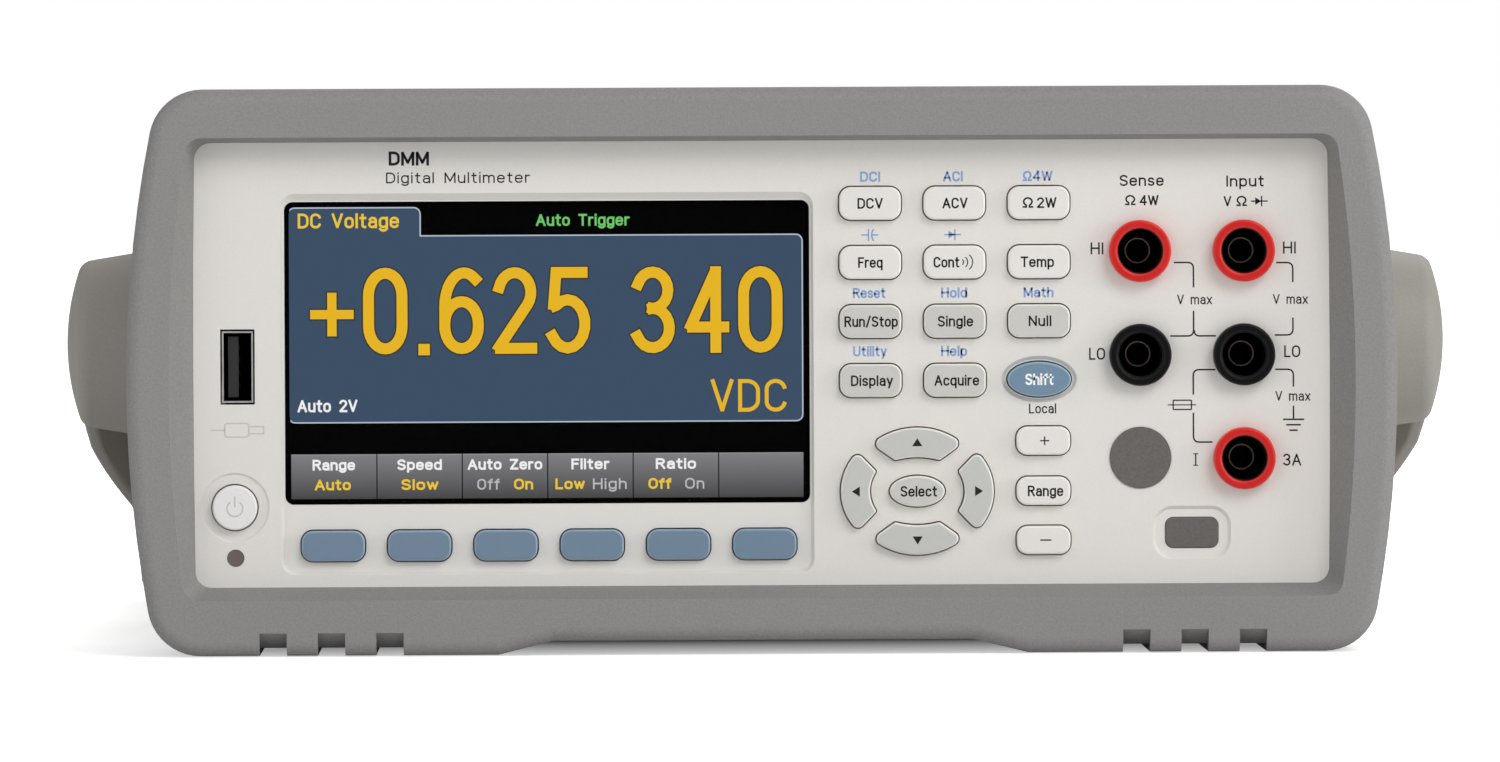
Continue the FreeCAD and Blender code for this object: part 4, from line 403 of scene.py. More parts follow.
def glyphs():
    """Strokes of each sign, in heights of a capital: its width, its open paths and its closed ones."""
    bowl = ring(0.23, 0.0, X_HEIGHT, 0.23)
    arch = bow(0.22, 0.50, 0.22, 0.22, 180, 0) + [(0.44, 0.0)]
    signs = {
        "A": (0.62, [[(0, 0), (0.31, 1), (0.62, 0)], [(0.11, 0.33), (0.51, 0.33)]]),
        "C": (0.56, [bow(0.28, 0.72, 0.28, 0.28, 15, 180) + bow(0.28, 0.28, 0.28, 0.28, 180, 345)]),
        "F": (0.44, [[(0.44, 1), (0, 1), (0, 0)], [(0, 0.52), (0.38, 0.52)]]),
        "H": (0.56, [[(0, 0), (0, 1)], [(0.56, 0), (0.56, 1)], [(0, 0.52), (0.56, 0.52)]]),
        "I": (0.0, [[(0, 0), (0, 1)]]),
        "L": (0.42, [[(0, 1), (0, 0), (0.42, 0)]]),
        "M": (0.70, [[(0, 0), (0, 1), (0.35, 0.14), (0.70, 1), (0.70, 0)]]),
        "N": (0.56, [[(0, 0), (0, 1), (0.56, 0), (0.56, 1)]]),
        "R": (0.54, [[(0, 0), (0, 1)] + bow(0.28, 0.76, 0.24, 0.24, 90, -90) + [(0, 0.52)],
                     [(0.27, 0.52), (0.54, 0)]]),
        "S": (0.52, [bow(0.26, 0.76, 0.25, 0.24, 25, 230) + bow(0.26, 0.25, 0.26, 0.25, 50, -155)]),
        "T": (0.54, [[(0, 1), (0.54, 1)], [(0.27, 1), (0.27, 0)]]),
        "U": (0.56, [[(0, 1)] + bow(0.28, 0.28, 0.28, 0.28, 180, 360) + [(0.56, 1)]]),
        "V": (0.58, [[(0, 1), (0.29, 0), (0.58, 1)]]),
        "W": (0.86, [[(0, 1), (0.215, 0), (0.43, 0.94), (0.645, 0), (0.86, 1)]]),
        "Z": (0.52, [[(0, 1), (0.52, 1), (0, 0), (0.52, 0)]]),
        "Ω": (0.68, [[(0, 0), (0.22, 0), (0.22, 0.12)] + bow(0.34, 0.59, 0.32, 0.41, 243, -63, 14)
                     + [(0.46, 0.12), (0.46, 0), (0.68, 0)]]),
        "a": (0.44, [bow(0.23, 0.50, 0.21, 0.22, 155, 0) + [(0.44, 0)],
                     [(0.44, 0.42), (0.20, 0.42)] + bow(0.20, 0.21, 0.20, 0.21, 90, 270)
                     + [(0.27, 0), (0.44, 0.14)]]),
        "c": (0.42, [bow(0.22, 0.49, 0.22, 0.23, 25, 180) + bow(0.22, 0.23, 0.22, 0.23, 180, 335)]),
        "e": (0.46, [[(0, 0.38), (0.46, 0.38)] + bow(0.23, 0.49, 0.23, 0.23, 0, 180)
                     + bow(0.23, 0.23, 0.23, 0.23, 180, 330)]),
        "f": (0.30, [bow(0.30, 0.80, 0.17, 0.20, 90, 180) + [(0.13, 0)], [(0, 0.72), (0.30, 0.72)]]),
        "h": (0.44, [[(0, 0), (0, 1)], arch]),
        "i": (0.0, [[(0, 0), (0, X_HEIGHT)], [(0, 0.995), (0, 1.005)]]),
        "l": (0.0, [[(0, 0), (0, 1)]]),
        "m": (0.76, [[(0, 0), (0, X_HEIGHT)], bow(0.19, 0.53, 0.19, 0.19, 180, 0) + [(0.38, 0)],
                     bow(0.57, 0.53, 0.19, 0.19, 180, 0) + [(0.76, 0)]]),
        "n": (0.44, [[(0, 0), (0, X_HEIGHT)], arch]),
        "r": (0.26, [[(0, 0), (0, X_HEIGHT)], bow(0.22, 0.48, 0.22, 0.24, 180, 80)]),
        "s": (0.40, [bow(0.20, 0.54, 0.19, 0.18, 25, 230) + bow(0.20, 0.18, 0.20, 0.18, 50, -155)]),
        "t": (0.30, [[(0.12, 0.96)] + bow(0.27, 0.16, 0.15, 0.16, 180, 275), [(0, 0.72), (0.29, 0.72)]]),
        "u": (0.44, [[(0, X_HEIGHT)] + bow(0.22, 0.22, 0.22, 0.22, 180, 360),
                     [(0.44, X_HEIGHT), (0.44, 0)]]),
        "w": (0.66, [[(0, X_HEIGHT), (0.165, 0), (0.33, 0.68), (0.495, 0), (0.66, X_HEIGHT)]]),
        "x": (0.42, [[(0, X_HEIGHT), (0.42, 0)], [(0, 0), (0.42, X_HEIGHT)]]),
        "y": (0.44, [[(0, X_HEIGHT), (0.22, 0.04)], [(0.44, X_HEIGHT), (0.13, DESCENT)]]),
        "2": (0.50, [bow(0.25, 0.74, 0.24, 0.26, 165, -38) + [(0, 0), (0.50, 0)]]),
        "3": (0.50, [bow(0.25, 0.76, 0.23, 0.24, 160, -90), bow(0.25, 0.26, 0.25, 0.26, 90, -155)]),
        "4": (0.54, [[(0.41, 0), (0.41, 1)], [(0.39, 0.98), (0, 0.27), (0.54, 0.27)]]),
        "5": (0.50, [[(0.46, 1), (0.07, 1), (0.03, 0.55)] + bow(0.24, 0.32, 0.26, 0.32, 130, -150)]),
        "/": (0.34, [[(0, -0.06), (0.34, 1.06)]]),
    }
    table = {sign: (width, paths, []) for sign, (width, paths) in signs.items()}
    table["D"] = (0.56, [], [[(0, 0), (0, 1)] + bow(0.22, 0.66, 0.34, 0.34, 90, 0)
                             + bow(0.22, 0.34, 0.34, 0.34, 0, -90)])
    table["O"] = (0.60, [], [ring(0.30, 0.0, 1.0, 0.34)])
    table["0"] = (0.52, [], [ring(0.26, 0.0, 1.0, 0.30)])
    table["6"] = (0.50, [bow(0.29, 0.55, 0.29, 0.45, 55, 180) + [(0, 0.31)]], [ring(0.25, 0.0, 0.62, 0.29)])
    table["o"] = (0.46, [], [bowl])
    table["d"] = (0.46, [[(0.46, 0), (0.46, 1)]], [bowl])
    table["g"] = (0.46, [[(0.46, X_HEIGHT)] + bow(0.23, -0.07, 0.23, 0.21, 0, -155)], [bowl])
    table["p"] = (0.46, [[(0, DESCENT), (0, X_HEIGHT)]], [bowl])
    table["q"] = (0.46, [[(0.46, DESCENT), (0.46, X_HEIGHT)]], [bowl])
    return table


GLYPHS = glyphs()


class Print:
    """Flat shapes on one plane that faces the front, gathered into one thin solid."""

    def __init__(self, y):
        self.mesh = bmesh.new()
        self.y = y

    def shape(self, points):
        """A filled outline."""
        verts = [self.mesh.verts.new((x * MM, self.y * MM, z * MM)) for x, z in points]
        return self.mesh.faces.new(verts)

    def text(self, words, x, z, cap, width, stroke):
        """Words centred on (x, z), with capitals this tall, strokes this wide and this wide over all."""
        total = sum(SPACE if sign == " " else GLYPHS[sign][0] for sign in words)
        total += LETTER_GAP * (len(words) - 1)
        wide, tall = (width - stroke) / max(total, LETTER_GAP), cap - stroke
        left, low = x - total * wide / 2, z - tall / 2
        for sign in words:
            if sign == " ":
                left += (SPACE + LETTER_GAP) * wide
                continue
            across, paths, loops = GLYPHS[sign]
            for points in paths:
                self.line([(left + u * wide, low + v * tall) for u, v in points], stroke, square=True)
            for points in loops:
                self.line([(left + u * wide, low + v * tall) for u, v in points], stroke, closed=True)
            left += (across + LETTER_GAP) * wide

    def line(self, points, width, closed=False, square=False):
        """A stroke of even width along a path, whose ends may reach out by half its width."""
        path = []
        for point in points:
            if not path or (Vector(point) - path[-1]).length > NEAR:
                path.append(Vector(point))
        if closed and (path[0] - path[-1]).length < NEAR:
            path.pop()
        if square:
            path[0] = path[0] + (path[0] - path[1]).normalized() * width / 2
            path[-1] = path[-1] + (path[-1] - path[-2]).normalized() * width / 2
        if closed:
            self.stroke(path, width, True)
            return
        start = 0
        for i in range(1, len(path) - 1):
            into, out = (path[i] - path[i - 1]).normalized(), (path[i + 1] - path[i]).normalized()
            if (into + out).length / 2 < SHARPEST:
                self.stroke(path[start:i] + [path[i] + into * width * CORNER_REACH], width)
                path[i] = path[i] - out * width * CORNER_REACH
                start = i
        self.stroke(path[start:], width)

    def stroke(self, path, width, closed=False):
        """A stroke through points whose corners are all blunt, with mitred joints."""
        count = len(path)
        left, right = [], []
        for i, here in enumerate(path):
            before = path[i - 1] if i or closed else None
            after = path[(i + 1) % count] if i < count - 1 or closed else None
            ways = [w.normalized() for w in (here - before if before is not None else None,
                                             after - here if after is not None else None) if w is not None]
            way = sum(ways, Vector((0, 0))).normalized()
            side = Vector((-way.y, way.x))
            reach = width / 2 / max(side.dot(Vector((-ways[0].y, ways[0].x))), SHARPEST)
            left.append(here + side * reach)
            right.append(here - side * reach)
        spans = range(count if closed else count - 1)
        for i in spans:
            j = (i + 1) % count
            self.shape([right[i], right[j], left[j], left[i]])

    def finish(self, name, material, body, slot):
        """Makes the shapes into a solid that stands out of its surface by half its thickness."""
        bmesh.ops.remove_doubles(self.mesh, verts=self.mesh.verts, dist=1e-7)
        bmesh.ops.recalc_face_normals(self.mesh, faces=self.mesh.faces)
        flat = list(self.mesh.faces)
        for face in flat:
            if face.normal.y > 0:
                face.normal_flip()
        made = bmesh.ops.extrude_face_region(self.mesh, geom=flat, use_keep_orig=True)
        moved = [g for g in made["geom"] if isinstance(g, bmesh.types.BMVert)]
        bmesh.ops.translate(self.mesh, verts=moved, vec=(0, -PRINT_THICK * MM, 0))
        bmesh.ops.translate(self.mesh, verts=self.mesh.verts, vec=(0, PRINT_THICK * MM / 2, 0))
        bmesh.ops.recalc_face_normals(self.mesh, faces=self.mesh.faces)
        return piece(name, self.mesh, material, body)


def piece(name, mesh, material, body):
    """A finished piece that rides on a body."""
    data = bpy.data.meshes.new(name)
    mesh.to_mesh(data)
    mesh.free()
    data.materials.append(material)
    made = bpy.data.objects.new(name, data)
    bpy.context.scene.collection.objects.link(made)
    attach(made, body)
    return made


def arc(x, z, radius, start, end, steps=10):
    """Points along a part of a circle."""
    return bow(x, z, radius, radius, start, end, steps)


def rounded_box(left, right, low, high, radius, steps):
    """Corner points of a rectangle with rounded corners, walked counter-clockwise."""
    corners = ((right - radius, low + radius, -90), (right - radius, high - radius, 0),
               (left + radius, high - radius, 90), (left + radius, low + radius, 180))
    return [p for x, z, start in corners for p in arc(x, z, radius, start, start + 90, steps)]


def rounded_path(points, radius):
    """A path with its inner corners rounded."""
    path = [points[0]]
    for before, corner, after in zip(points, points[1:], points[2:]):
        a, b, c = Vector(before), Vector(corner), Vector(after)
        start = b + (a - b).normalized() * radius
        end = b + (c - b).normalized() * radius
        for i in range(PATH_STEPS + 1):
            t = i / PATH_STEPS
            path.append(tuple((1 - t) ** 2 * start + 2 * t * (1 - t) * b + t ** 2 * end))
    path.append(points[-1])
    return path


def diode(print_, x, z, rise, line):
    """Diode symbol: arrowhead and bar on a line."""
    reach, back, tip, bar, spread = 1.55, 0.75, 0.35, 0.42, 0.75 * rise
    print_.line([(x - reach, z), (x + reach, z)], line)
    print_.shape([(x - back, z - spread), (x + tip, z), (x - back, z + spread)])
    print_.line([(x + bar, z - rise), (x + bar, z + rise)], line)


# ---------------------------------------------------------------- legends

# widths of lines and strokes, and heights of capitals
INK_LINE = 0.29
FINE_LINE = 0.26
SIGN_LINE = 0.24
RELIEF_LINE = 0.28
LEGEND_STROKE = 0.32
BOLD_STROKE = 0.36
LEGEND_CAP = 1.97
HEADING_CAP = 2.05
UNIT_CAP = 1.9
SOCKET_CAP = 2.2
LIMIT_CAP = 1.8


def front_of(node):
    """The level of a part's foremost face, in millimetres."""
    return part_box(node)[0].y / MM


def centre_of(node):
    """The middle of a part as seen from the front, in millimetres."""
    low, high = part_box(node)
    return (low.x + high.x) / 2 / MM, (low.z + high.z) / 2 / MM


KEY_WORDS = {
    "key_dc_volts": ("DCV", 4.65, 0.0), "key_ac_volts": ("ACV", 4.6, 0.1),
    "key_frequency": ("Freq", 4.5, 0.0), "key_temperature": ("Temp", 6.1, -0.3),
    "key_run_stop": ("Run/Stop", 9.8, 0.1), "key_single": ("Single", 6.5, 0.1),
    "key_null": ("Null", 4.16, 0.15),
    "key_display": ("Display", 7.7, 0.2), "key_acquire": ("Acquire", 8.2, 0.3),
    "key_range_auto": ("Range", 6.5, 0.35), "key_select": ("Select", 6.7, 0.25),
}


def key_words():
    """The words printed on the keys."""
    for node, (words, width, shift) in KEY_WORDS.items():
        x, z = centre_of(node)
        legend = Print(front_of(node))
        legend.text(words, x + shift, z, LEGEND_CAP, width, LEGEND_STROKE)
        legend.finish(f"legend_{node}", DARK_INK, node, "black_plastic")
    x, z = centre_of("key_shift")
    legend = Print(front_of("key_shift"))
    legend.text("Shift", x, z, 2.1, 5.2, BOLD_STROKE)
    legend.finish("legend_key_shift", WHITE_INK, "key_shift", "white_key")
    x, z = centre_of("key_ohms")
    legend = Print(front_of("key_ohms"))
    legend.text("Ω", x - 2.0, z + 0.05, LEGEND_CAP, 1.95, LEGEND_STROKE)
    legend.text("2W", x + 1.45, z, LEGEND_CAP, 3.6, LEGEND_STROKE)
    legend.finish("legend_key_ohms", DARK_INK, "key_ohms", "black_plastic")
    x, z = centre_of("key_continuity")
    legend = Print(front_of("key_continuity"))
    legend.text("Cont", x - 1.5, z, LEGEND_CAP, 4.75, LEGEND_STROKE)
    for reach, half in ((1.45, 0.5), (2.05, 0.95), (2.8, 1.4)):
        legend.line(arc(x + reach - half * 0.9, z, half * 1.25, -50, 50), 0.2)
    legend.finish("legend_key_continuity", DARK_INK, "key_continuity", "black_plastic")


def key_signs():
    """Plus, minus and the arrowheads."""
    x, z = centre_of("key_range_up")
    plus = Print(front_of("key_range_up"))
    plus.line([(x - 0.6, z), (x + 1.05, z)], SIGN_LINE)
    plus.line([(x + 0.22, z - 0.82), (x + 0.22, z - 0.12)], SIGN_LINE)
    plus.line([(x + 0.22, z + 0.12), (x + 0.22, z + 0.82)], SIGN_LINE)
    plus.finish("legend_key_range_up", DARK_INK, "key_range_up", "black_plastic")
    x, z = centre_of("key_range_down")
    minus = Print(front_of("key_range_down"))
    minus.line([(x - 0.65, z), (x + 1.4, z)], FINE_LINE)
    minus.finish("legend_key_range_down", DARK_INK, "key_range_down", "black_plastic")
    middle_x, middle_z = centre_of("key_select")
    for node, angle in (("key_arrow_right", 0), ("key_arrow_up", 90), ("key_arrow_left", 180),
                        ("key_arrow_down", 270)):
        turn = Quaternion((0, 0, 1), math.radians(angle))
        reach = 11.3 if angle % 180 == 0 else 9.0
        out = turn @ Vector((reach, 0, 0))
        corners = [turn @ Vector(p) for p in ((-0.72, -0.93, 0), (0.75, 0, 0), (-0.72, 0.93, 0))]
        head = Print(front_of(node))
        head.shape([(middle_x + out.x + c.x, middle_z + out.y + c.y) for c in corners])
        head.finish(f"legend_{node}", DARK_INK, node, "black_plastic")


SHIFT_WORDS = {
    "key_dc_volts": ("DCI", 3.7, 0.05, 4.9), "key_ac_volts": ("ACI", 3.65, -0.22, 4.9),
    "key_ohms": ("Ω4W", 5.5, -0.14, 4.9),
    "key_run_stop": ("Reset", 6.0, -0.2, 5.23), "key_single": ("Hold", 4.8, -0.07, 5.23),
    "key_null": ("Math", 5.5, -0.04, 5.23),
    "key_display": ("Utility", 6.2, -0.1, 5.37), "key_acquire": ("Help", 4.8, -0.12, 5.37),
}
SHIFT_SIGN_RISE = 5.04


def shift_print(panel):
    """What the keys do after the shift key, in blue above them."""
    blue = Print(panel)
    for node, (words, width, shift, rise) in SHIFT_WORDS.items():
        x, z = centre_of(node)
        blue.text(words, x + shift, z + rise, UNIT_CAP, width, BOLD_STROKE)
    x, z = centre_of("key_frequency")
    level = z + SHIFT_SIGN_RISE
    blue.line([(x - 1.6, level), (x - 0.35, level)], FINE_LINE)
    blue.line([(x - 0.29, level - 1.1), (x - 0.29, level + 1.1)], 0.28)
    blue.line(arc(x + 2.05, level, 1.75, 142, 218), 0.28)
    blue.line([(x + 0.35, level), (x + 1.5, level)], FINE_LINE)
    x, z = centre_of("key_continuity")
    diode(blue, x - 0.32, z + SHIFT_SIGN_RISE, 1.0, FINE_LINE)
    blue.finish("shift_print", BLUE_INK, "instrument", "blue_softkey")


def socket_places():
    """Columns and rows of the sockets, rounded because a round mesh isn't quite even about its middle."""
    sense, top = centre_of("jack_sense_hi")
    into, middle = centre_of("jack_input_lo")
    low = centre_of("jack_current")[1]
    return tuple(round(place, 2) for place in (sense, into, top, middle, low))


def socket_words(dark):
    """Names of the sockets and of their columns."""
    sense, into, top, middle, low = socket_places()
    for words, x, z, cap, width in (
            ("Sense", sense + 0.4, top + 12.95, HEADING_CAP, 8.1),
            ("Input", into + 0.36, top + 12.75, HEADING_CAP, 6.9),
            ("4W", sense + 1.75, top + 9.3, UNIT_CAP, 3.5), ("Ω", sense - 1.7, top + 9.35, UNIT_CAP, 1.95),
            ("V", into - 2.9, top + 9.05, UNIT_CAP, 1.4), ("Ω", into - 0.3, top + 9.1, UNIT_CAP, 1.95)):
        dark.text(words, x, z, cap, width, 0.31)
    for words, x, z, width in (
            ("HI", sense - 7.85, top + 0.5, 2.35), ("HI", into + 8.45, top + 0.5, 2.35),
            ("LO", sense - 7.9, middle + 0.2, 2.95), ("LO", into + 8.9, middle + 0.5, 2.95),
            ("3A", into + 8.8, low - 0.35, 3.35)):
        dark.text(words, x, z, SOCKET_CAP, width, 0.3)
    for x, z in ((sense + 10.05, top - 8.95), (into + 8.6, top - 8.95), (into + 9.0, middle - 7.7)):
        dark.text("V max", x, z, LIMIT_CAP, 6.4, SIGN_LINE)
    diode(dark, into + 2.95, top + 9.05, 0.95, SIGN_LINE)
    x = sense + 10.15
    dark.line([(x, low - 1.2), (x, low + 0.7)], FINE_LINE)
    for z in (low - 1.3, low + 0.8):
        dark.line([(x - 0.45, z), (x + 0.45, z)], 0.2)


def socket_lines(dark):
    """Lines that join the sockets, with the fuse and the earth sign on them."""
    sense, into, top, middle, low = socket_places()
    left, right = sense + 9.85, into + 9.05
    fused = into - 9.3
    earthed = into + 9.1
    for path in (
            [(sense + 6.25, top - 2.15), (left, top - 2.15), (left, top - 6.75)],
            [(into + 6.0, top - 2.25), (right, top - 2.25), (right, top - 5.85)],
            [(left, middle + 8.0), (left, middle + 3.4), (sense + 5.55, middle + 3.4)],
            [(right, middle + 6.7), (right, middle + 3.5), (into + 5.7, middle + 3.5)],
            [(into - 5.2, middle - 2.8), (fused, middle - 2.8), (fused, middle - 7.4)],
            [(into + 5.8, middle - 2.8), (earthed, middle - 2.8), (earthed, middle - 6.0)],
            [(fused, low + 8.35), (fused, low + 2.95), (into - 5.8, low + 2.95)]):
        dark.line(rounded_path(path, 1.1), INK_LINE)
    branch = [(into - 9.08, middle + 4.5), (into - 9.08, middle + 3.4), (into - 5.1, middle + 3.4)]
    dark.line(rounded_path(branch, 1.0), INK_LINE)
    dark.line([(earthed, middle - 9.5), (earthed, middle - 11.85)], INK_LINE)
    for drop, half in ((12.0, 1.95), (13.0, 1.35), (14.0, 0.75)):
        dark.line([(earthed - half, middle - drop), (earthed + half, middle - drop)], INK_LINE)
    dark.line([(sense + 5.05, middle - 9.25), (sense + 10.25, middle - 9.25)], 0.2)
    start, end, under, over = sense + 6.05, sense + 9.4, middle - 10.1, middle - 8.4
    for path in ([(start, under), (end, under)], [(start, over), (end, over)],
                 [(start, under), (start, over)], [(end, under), (end, over)]):
        dark.line(path, SIGN_LINE)


def panel_print(panel):
    """Words and lines printed in black on the panel."""
    dark = Print(panel)
    x, z = centre_of("key_shift")
    dark.text("Local", x + 0.61, z - 5.4, LIMIT_CAP, 5.0, 0.25)
    socket_words(dark)
    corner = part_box("display_window")
    left, top = corner[0].x / MM, corner[1].z / MM
    dark.text("DMM", left + 22.9, top + 8.0, 2.6, 7.4, 0.5)
    dark.text("Digital Multimeter", left + 31.9, top + 4.45, 2.0, 26.4, FINE_LINE)
    socket_lines(dark)
    dark.finish("panel_print", DARK_INK, "instrument", "black_plastic")


def relief_signs(panel):
    """Grey lines, a painted shade that stands for symbols moulded in faint relief: stand-by on the power
    button, a plug under the port.
    """
    x, z = centre_of("power_button")
    sign = Print(front_of("power_button"))
    sign.line(arc(x, z - 0.15, 1.45, 125, 415, 20), 0.3)
    sign.line([(x, z + 0.1), (x, z + 2.1)], 0.3)
    sign.finish("power_sign", RELIEF_PAINTED_SHADE, "power_button", "power_key")
    x, z = centre_of("usb_host_shell")
    level = z - 11.6
    plug = Print(panel)
    plug.line([(x - 5.0, level), (x - 2.4, level)], RELIEF_LINE)
    plug.line(rounded_box(x - 2.4, x + 2.0, level - 1.25, level + 1.25, 0.5, 3), RELIEF_LINE, closed=True)
    for side in (-0.65, 0.65):
        plug.line([(x + 2.14, level + side), (x + 4.6, level + side)], RELIEF_LINE)
    plug.line([(x + 4.74, level - 0.79), (x + 4.74, level + 0.79)], RELIEF_LINE)
    plug.finish("port_sign", RELIEF_PAINTED_SHADE, "instrument", "panel_plastic")


# ---------------------------------------------------------------- display picture

# level of the picture behind the window, then places on it, from left to right and from low to high
PICTURE = -142.45
LAYER = 0.06
FIELD = (-87.0, 7.65, 42.4, 76.9)
TAB_TOP, TAB_RIGHT = 82.1, -62.5
CELL_EDGES = (-86.6, -70.78, -55.1, -39.4, -23.7, -7.98, 7.7)
CELL_LOW, CELL_HIGH = 28.4, 36.7
READING_LEVEL = 63.0
READING_CAP = 15.9
READING_WIDTH = 8.15
READING_STROKE = 2.0
PLUS_X, PLUS_Z, PLUS_REACH = -78.9, 62.4, 4.0
POINT_X, POINT_LOW, POINT_TOP = -62.0, 54.85, 56.95
TITLE_LEVEL, CHOICE_LEVEL, TOP_LEVEL = 34.75, 31.1, 79.6
MENU_CAP, MENU_STROKE = 2.0, 0.40


def field_outline(inset):
    """Outline of the blue field and its tab, drawn in by some millimetres."""
    left, right, low, top = (FIELD[0] + inset, FIELD[1] - inset, FIELD[2] + inset, FIELD[3] - inset)
    tab_top, tab_right = TAB_TOP - inset, TAB_RIGHT - inset
    radius = 1.3 - inset
    return (arc(left + radius, low + radius, radius, 180, 270, 6)
            + arc(right - radius, low + radius, radius, 270, 360, 6)
            + arc(right - radius, top - radius, radius, 0, 90, 6)
            + [(tab_right, top)]
            + arc(tab_right - radius, tab_top - radius, radius, 0, 90, 6)
            + arc(left + radius, tab_top - radius, radius, 90, 180, 6))


def picture():
    """The display's picture, in thin layers between its glass and the window."""
    rim = Print(PICTURE)
    rim.shape(field_outline(0.0))
    rim.finish("screen_field_rim", FIELD_RIM, "instrument", "display_face")
    field = Print(PICTURE - LAYER)
    field.shape(field_outline(0.25))
    field.finish("screen_field", FIELD_BLUE, "instrument", "display_face")

    cells = Print(PICTURE)
    rims = Print(PICTURE - LAYER)
    for left, right in zip(CELL_EDGES, CELL_EDGES[1:]):
        cells.shape([(left + 0.1, CELL_LOW), (right - 0.1, CELL_LOW), (right - 0.1, CELL_HIGH),
                     (left + 0.1, CELL_HIGH)])
        rims.line([(left + 0.1, CELL_HIGH - 0.08), (right - 0.1, CELL_HIGH - 0.08)], 0.16)
    cells.finish("screen_cells", CELL_GREY, "instrument", "display_face")
    rims.finish("screen_cell_rims", CELL_RIM, "instrument", "display_face")

    words = PICTURE - 2 * LAYER
    reading = (("0", -69.1), ("6", -55.1), ("2", -45.3), ("5", -35.5),
               ("3", -20.0), ("4", -10.0), ("0", -0.2))
    digits, shade = Print(words - LAYER), Print(words)
    for layer, extra in ((digits, 0.0), (shade, 0.5)):
        stroke = READING_STROKE + extra
        for sign, x in reading:
            layer.text(sign, x, READING_LEVEL, READING_CAP + extra, READING_WIDTH + extra, stroke)
        reach, bar = PLUS_REACH + extra / 2, stroke - 0.3
        layer.line([(PLUS_X - reach, PLUS_Z), (PLUS_X + reach, PLUS_Z)], bar)
        layer.line([(PLUS_X, PLUS_Z - reach), (PLUS_X, PLUS_Z + reach)], bar)
        layer.line([(POINT_X, POINT_LOW - extra / 2), (POINT_X, POINT_TOP + extra / 2)], stroke + 0.1)
    digits.text("VDC", -2.4, 47.2, 6.0, 13.9, 0.72)
    digits.finish("screen_digits", DIGIT_YELLOW, "instrument", "display_face")
    shade.finish("screen_digit_shade", DIGIT_SHADE, "instrument", "display_face")

    yellow, white, grey, green = Print(words), Print(words), Print(words), Print(words)
    yellow.text("DC Voltage", -75.8, TOP_LEVEL, 2.75, 18.6, 0.45)
    green.text("Auto Trigger", -32.75, TOP_LEVEL, 2.2, 17.2, 0.38)
    white.text("Auto 2V", -79.8, 45.6, 2.3, 11.0, MENU_STROKE)
    titles = (("Range", 7.8), ("Speed", 8.2), ("Auto Zero", 13.7), ("Filter", 7.0), ("Ratio", 7.4))
    for (title, width), left, right in zip(titles, CELL_EDGES, CELL_EDGES[1:]):
        white.text(title, (left + right) / 2, TITLE_LEVEL, MENU_CAP, width, MENU_STROKE)
    for choice, x, width in (("Auto", -78.9, 6.6), ("Slow", -62.9, 6.8), ("On", -43.85, 3.5),
                             ("Low", -35.3, 5.4), ("Off", -18.8, 4.2)):
        yellow.text(choice, x, CHOICE_LEVEL, MENU_CAP, width, MENU_STROKE)
    for choice, x, width in (("Off", -50.3, 4.1), ("High", -28.0, 6.2), ("On", -12.4, 3.5)):
        grey.text(choice, x, CHOICE_LEVEL, MENU_CAP, width, 0.30)
    yellow.finish("screen_yellow_words", MENU_YELLOW, "instrument", "display_face")
    white.finish("screen_white_words", MENU_WHITE, "instrument", "display_face")
    grey.finish("screen_grey_words", MENU_GREY, "instrument", "display_face")
    green.finish("screen_green_words", STATUS_GREEN, "instrument", "display_face")


# ---------------------------------------------------------------- sockets

LATHE_STEPS = 48
LINER_OUT, LINER_BORE, LINER_HOLE = 4.16, 3.96, 2.45
LIP_DEPTH, LINER_DEPTH, RIM_DEPTH = 0.75, 22.6, 12.45
RIM_OUT, RIM_IN, RIM_BEVEL, RIM_LONG = 2.40, 2.10, 0.08, 0.3
CONTACTS, CONTACT_PITCH, CONTACT_HALF = 4, 2.4, 0.5


def lathe(mesh, x, z, profile):
    """Closed ring about a Y axis through (x, z), from (radius, y) points walked round its section."""
    rings = []
    for i in range(LATHE_STEPS):
        angle = math.tau * i / LATHE_STEPS
        out, up = math.cos(angle), math.sin(angle)
        rings.append([mesh.verts.new(((x + r * out) * MM, y * MM, (z + r * up) * MM)) for r, y in profile])
    for i in range(LATHE_STEPS):
        here, there = rings[i], rings[(i + 1) % LATHE_STEPS]
        for j in range(len(profile)):
            k = (j + 1) % len(profile)
            mesh.faces.new((here[j], there[j], there[k], here[k]))


def sockets():
    """Black liners in the sockets' shrouds, and light metal rings at the mouths of their contacts, a painted
    highlight on the contacts' rims.
    """
    liners, rims = bmesh.new(), bmesh.new()
    for name in ("sense_hi", "sense_lo", "input_hi", "input_lo", "current"):
        x, z = centre_of(f"jack_{name}")
        front = front_of(f"jack_{name}")
        lip, end = front + LIP_DEPTH, front + LINER_DEPTH
        lathe(liners, x, z, ((LINER_OUT, lip), (LINER_OUT - 0.1, lip - 0.2), (LINER_BORE + 0.02, lip),
                             (LINER_BORE, end - 0.6), (LINER_HOLE, end - 0.2), (LINER_HOLE, end),
                             (LINER_OUT, end)))
        rim = front + RIM_DEPTH
        lathe(rims, x, z, ((RIM_OUT, rim), (RIM_OUT - RIM_BEVEL, rim - RIM_BEVEL),
                           (RIM_IN + RIM_BEVEL, rim - RIM_BEVEL), (RIM_IN, rim),
                           (RIM_IN, rim + RIM_LONG), (RIM_OUT, rim + RIM_LONG)))
    for name, mesh, material, slot in (("socket_liners", liners, LINER_BLACK, "jack_black"),
                                       ("contact_rims_highlight", rims, CONTACT_RIM_HIGHLIGHT, "contact_metal")):
        bmesh.ops.recalc_face_normals(mesh, faces=mesh.faces)
        for face in mesh.faces:
            face.smooth = True
        piece(name, mesh, material, "instrument")


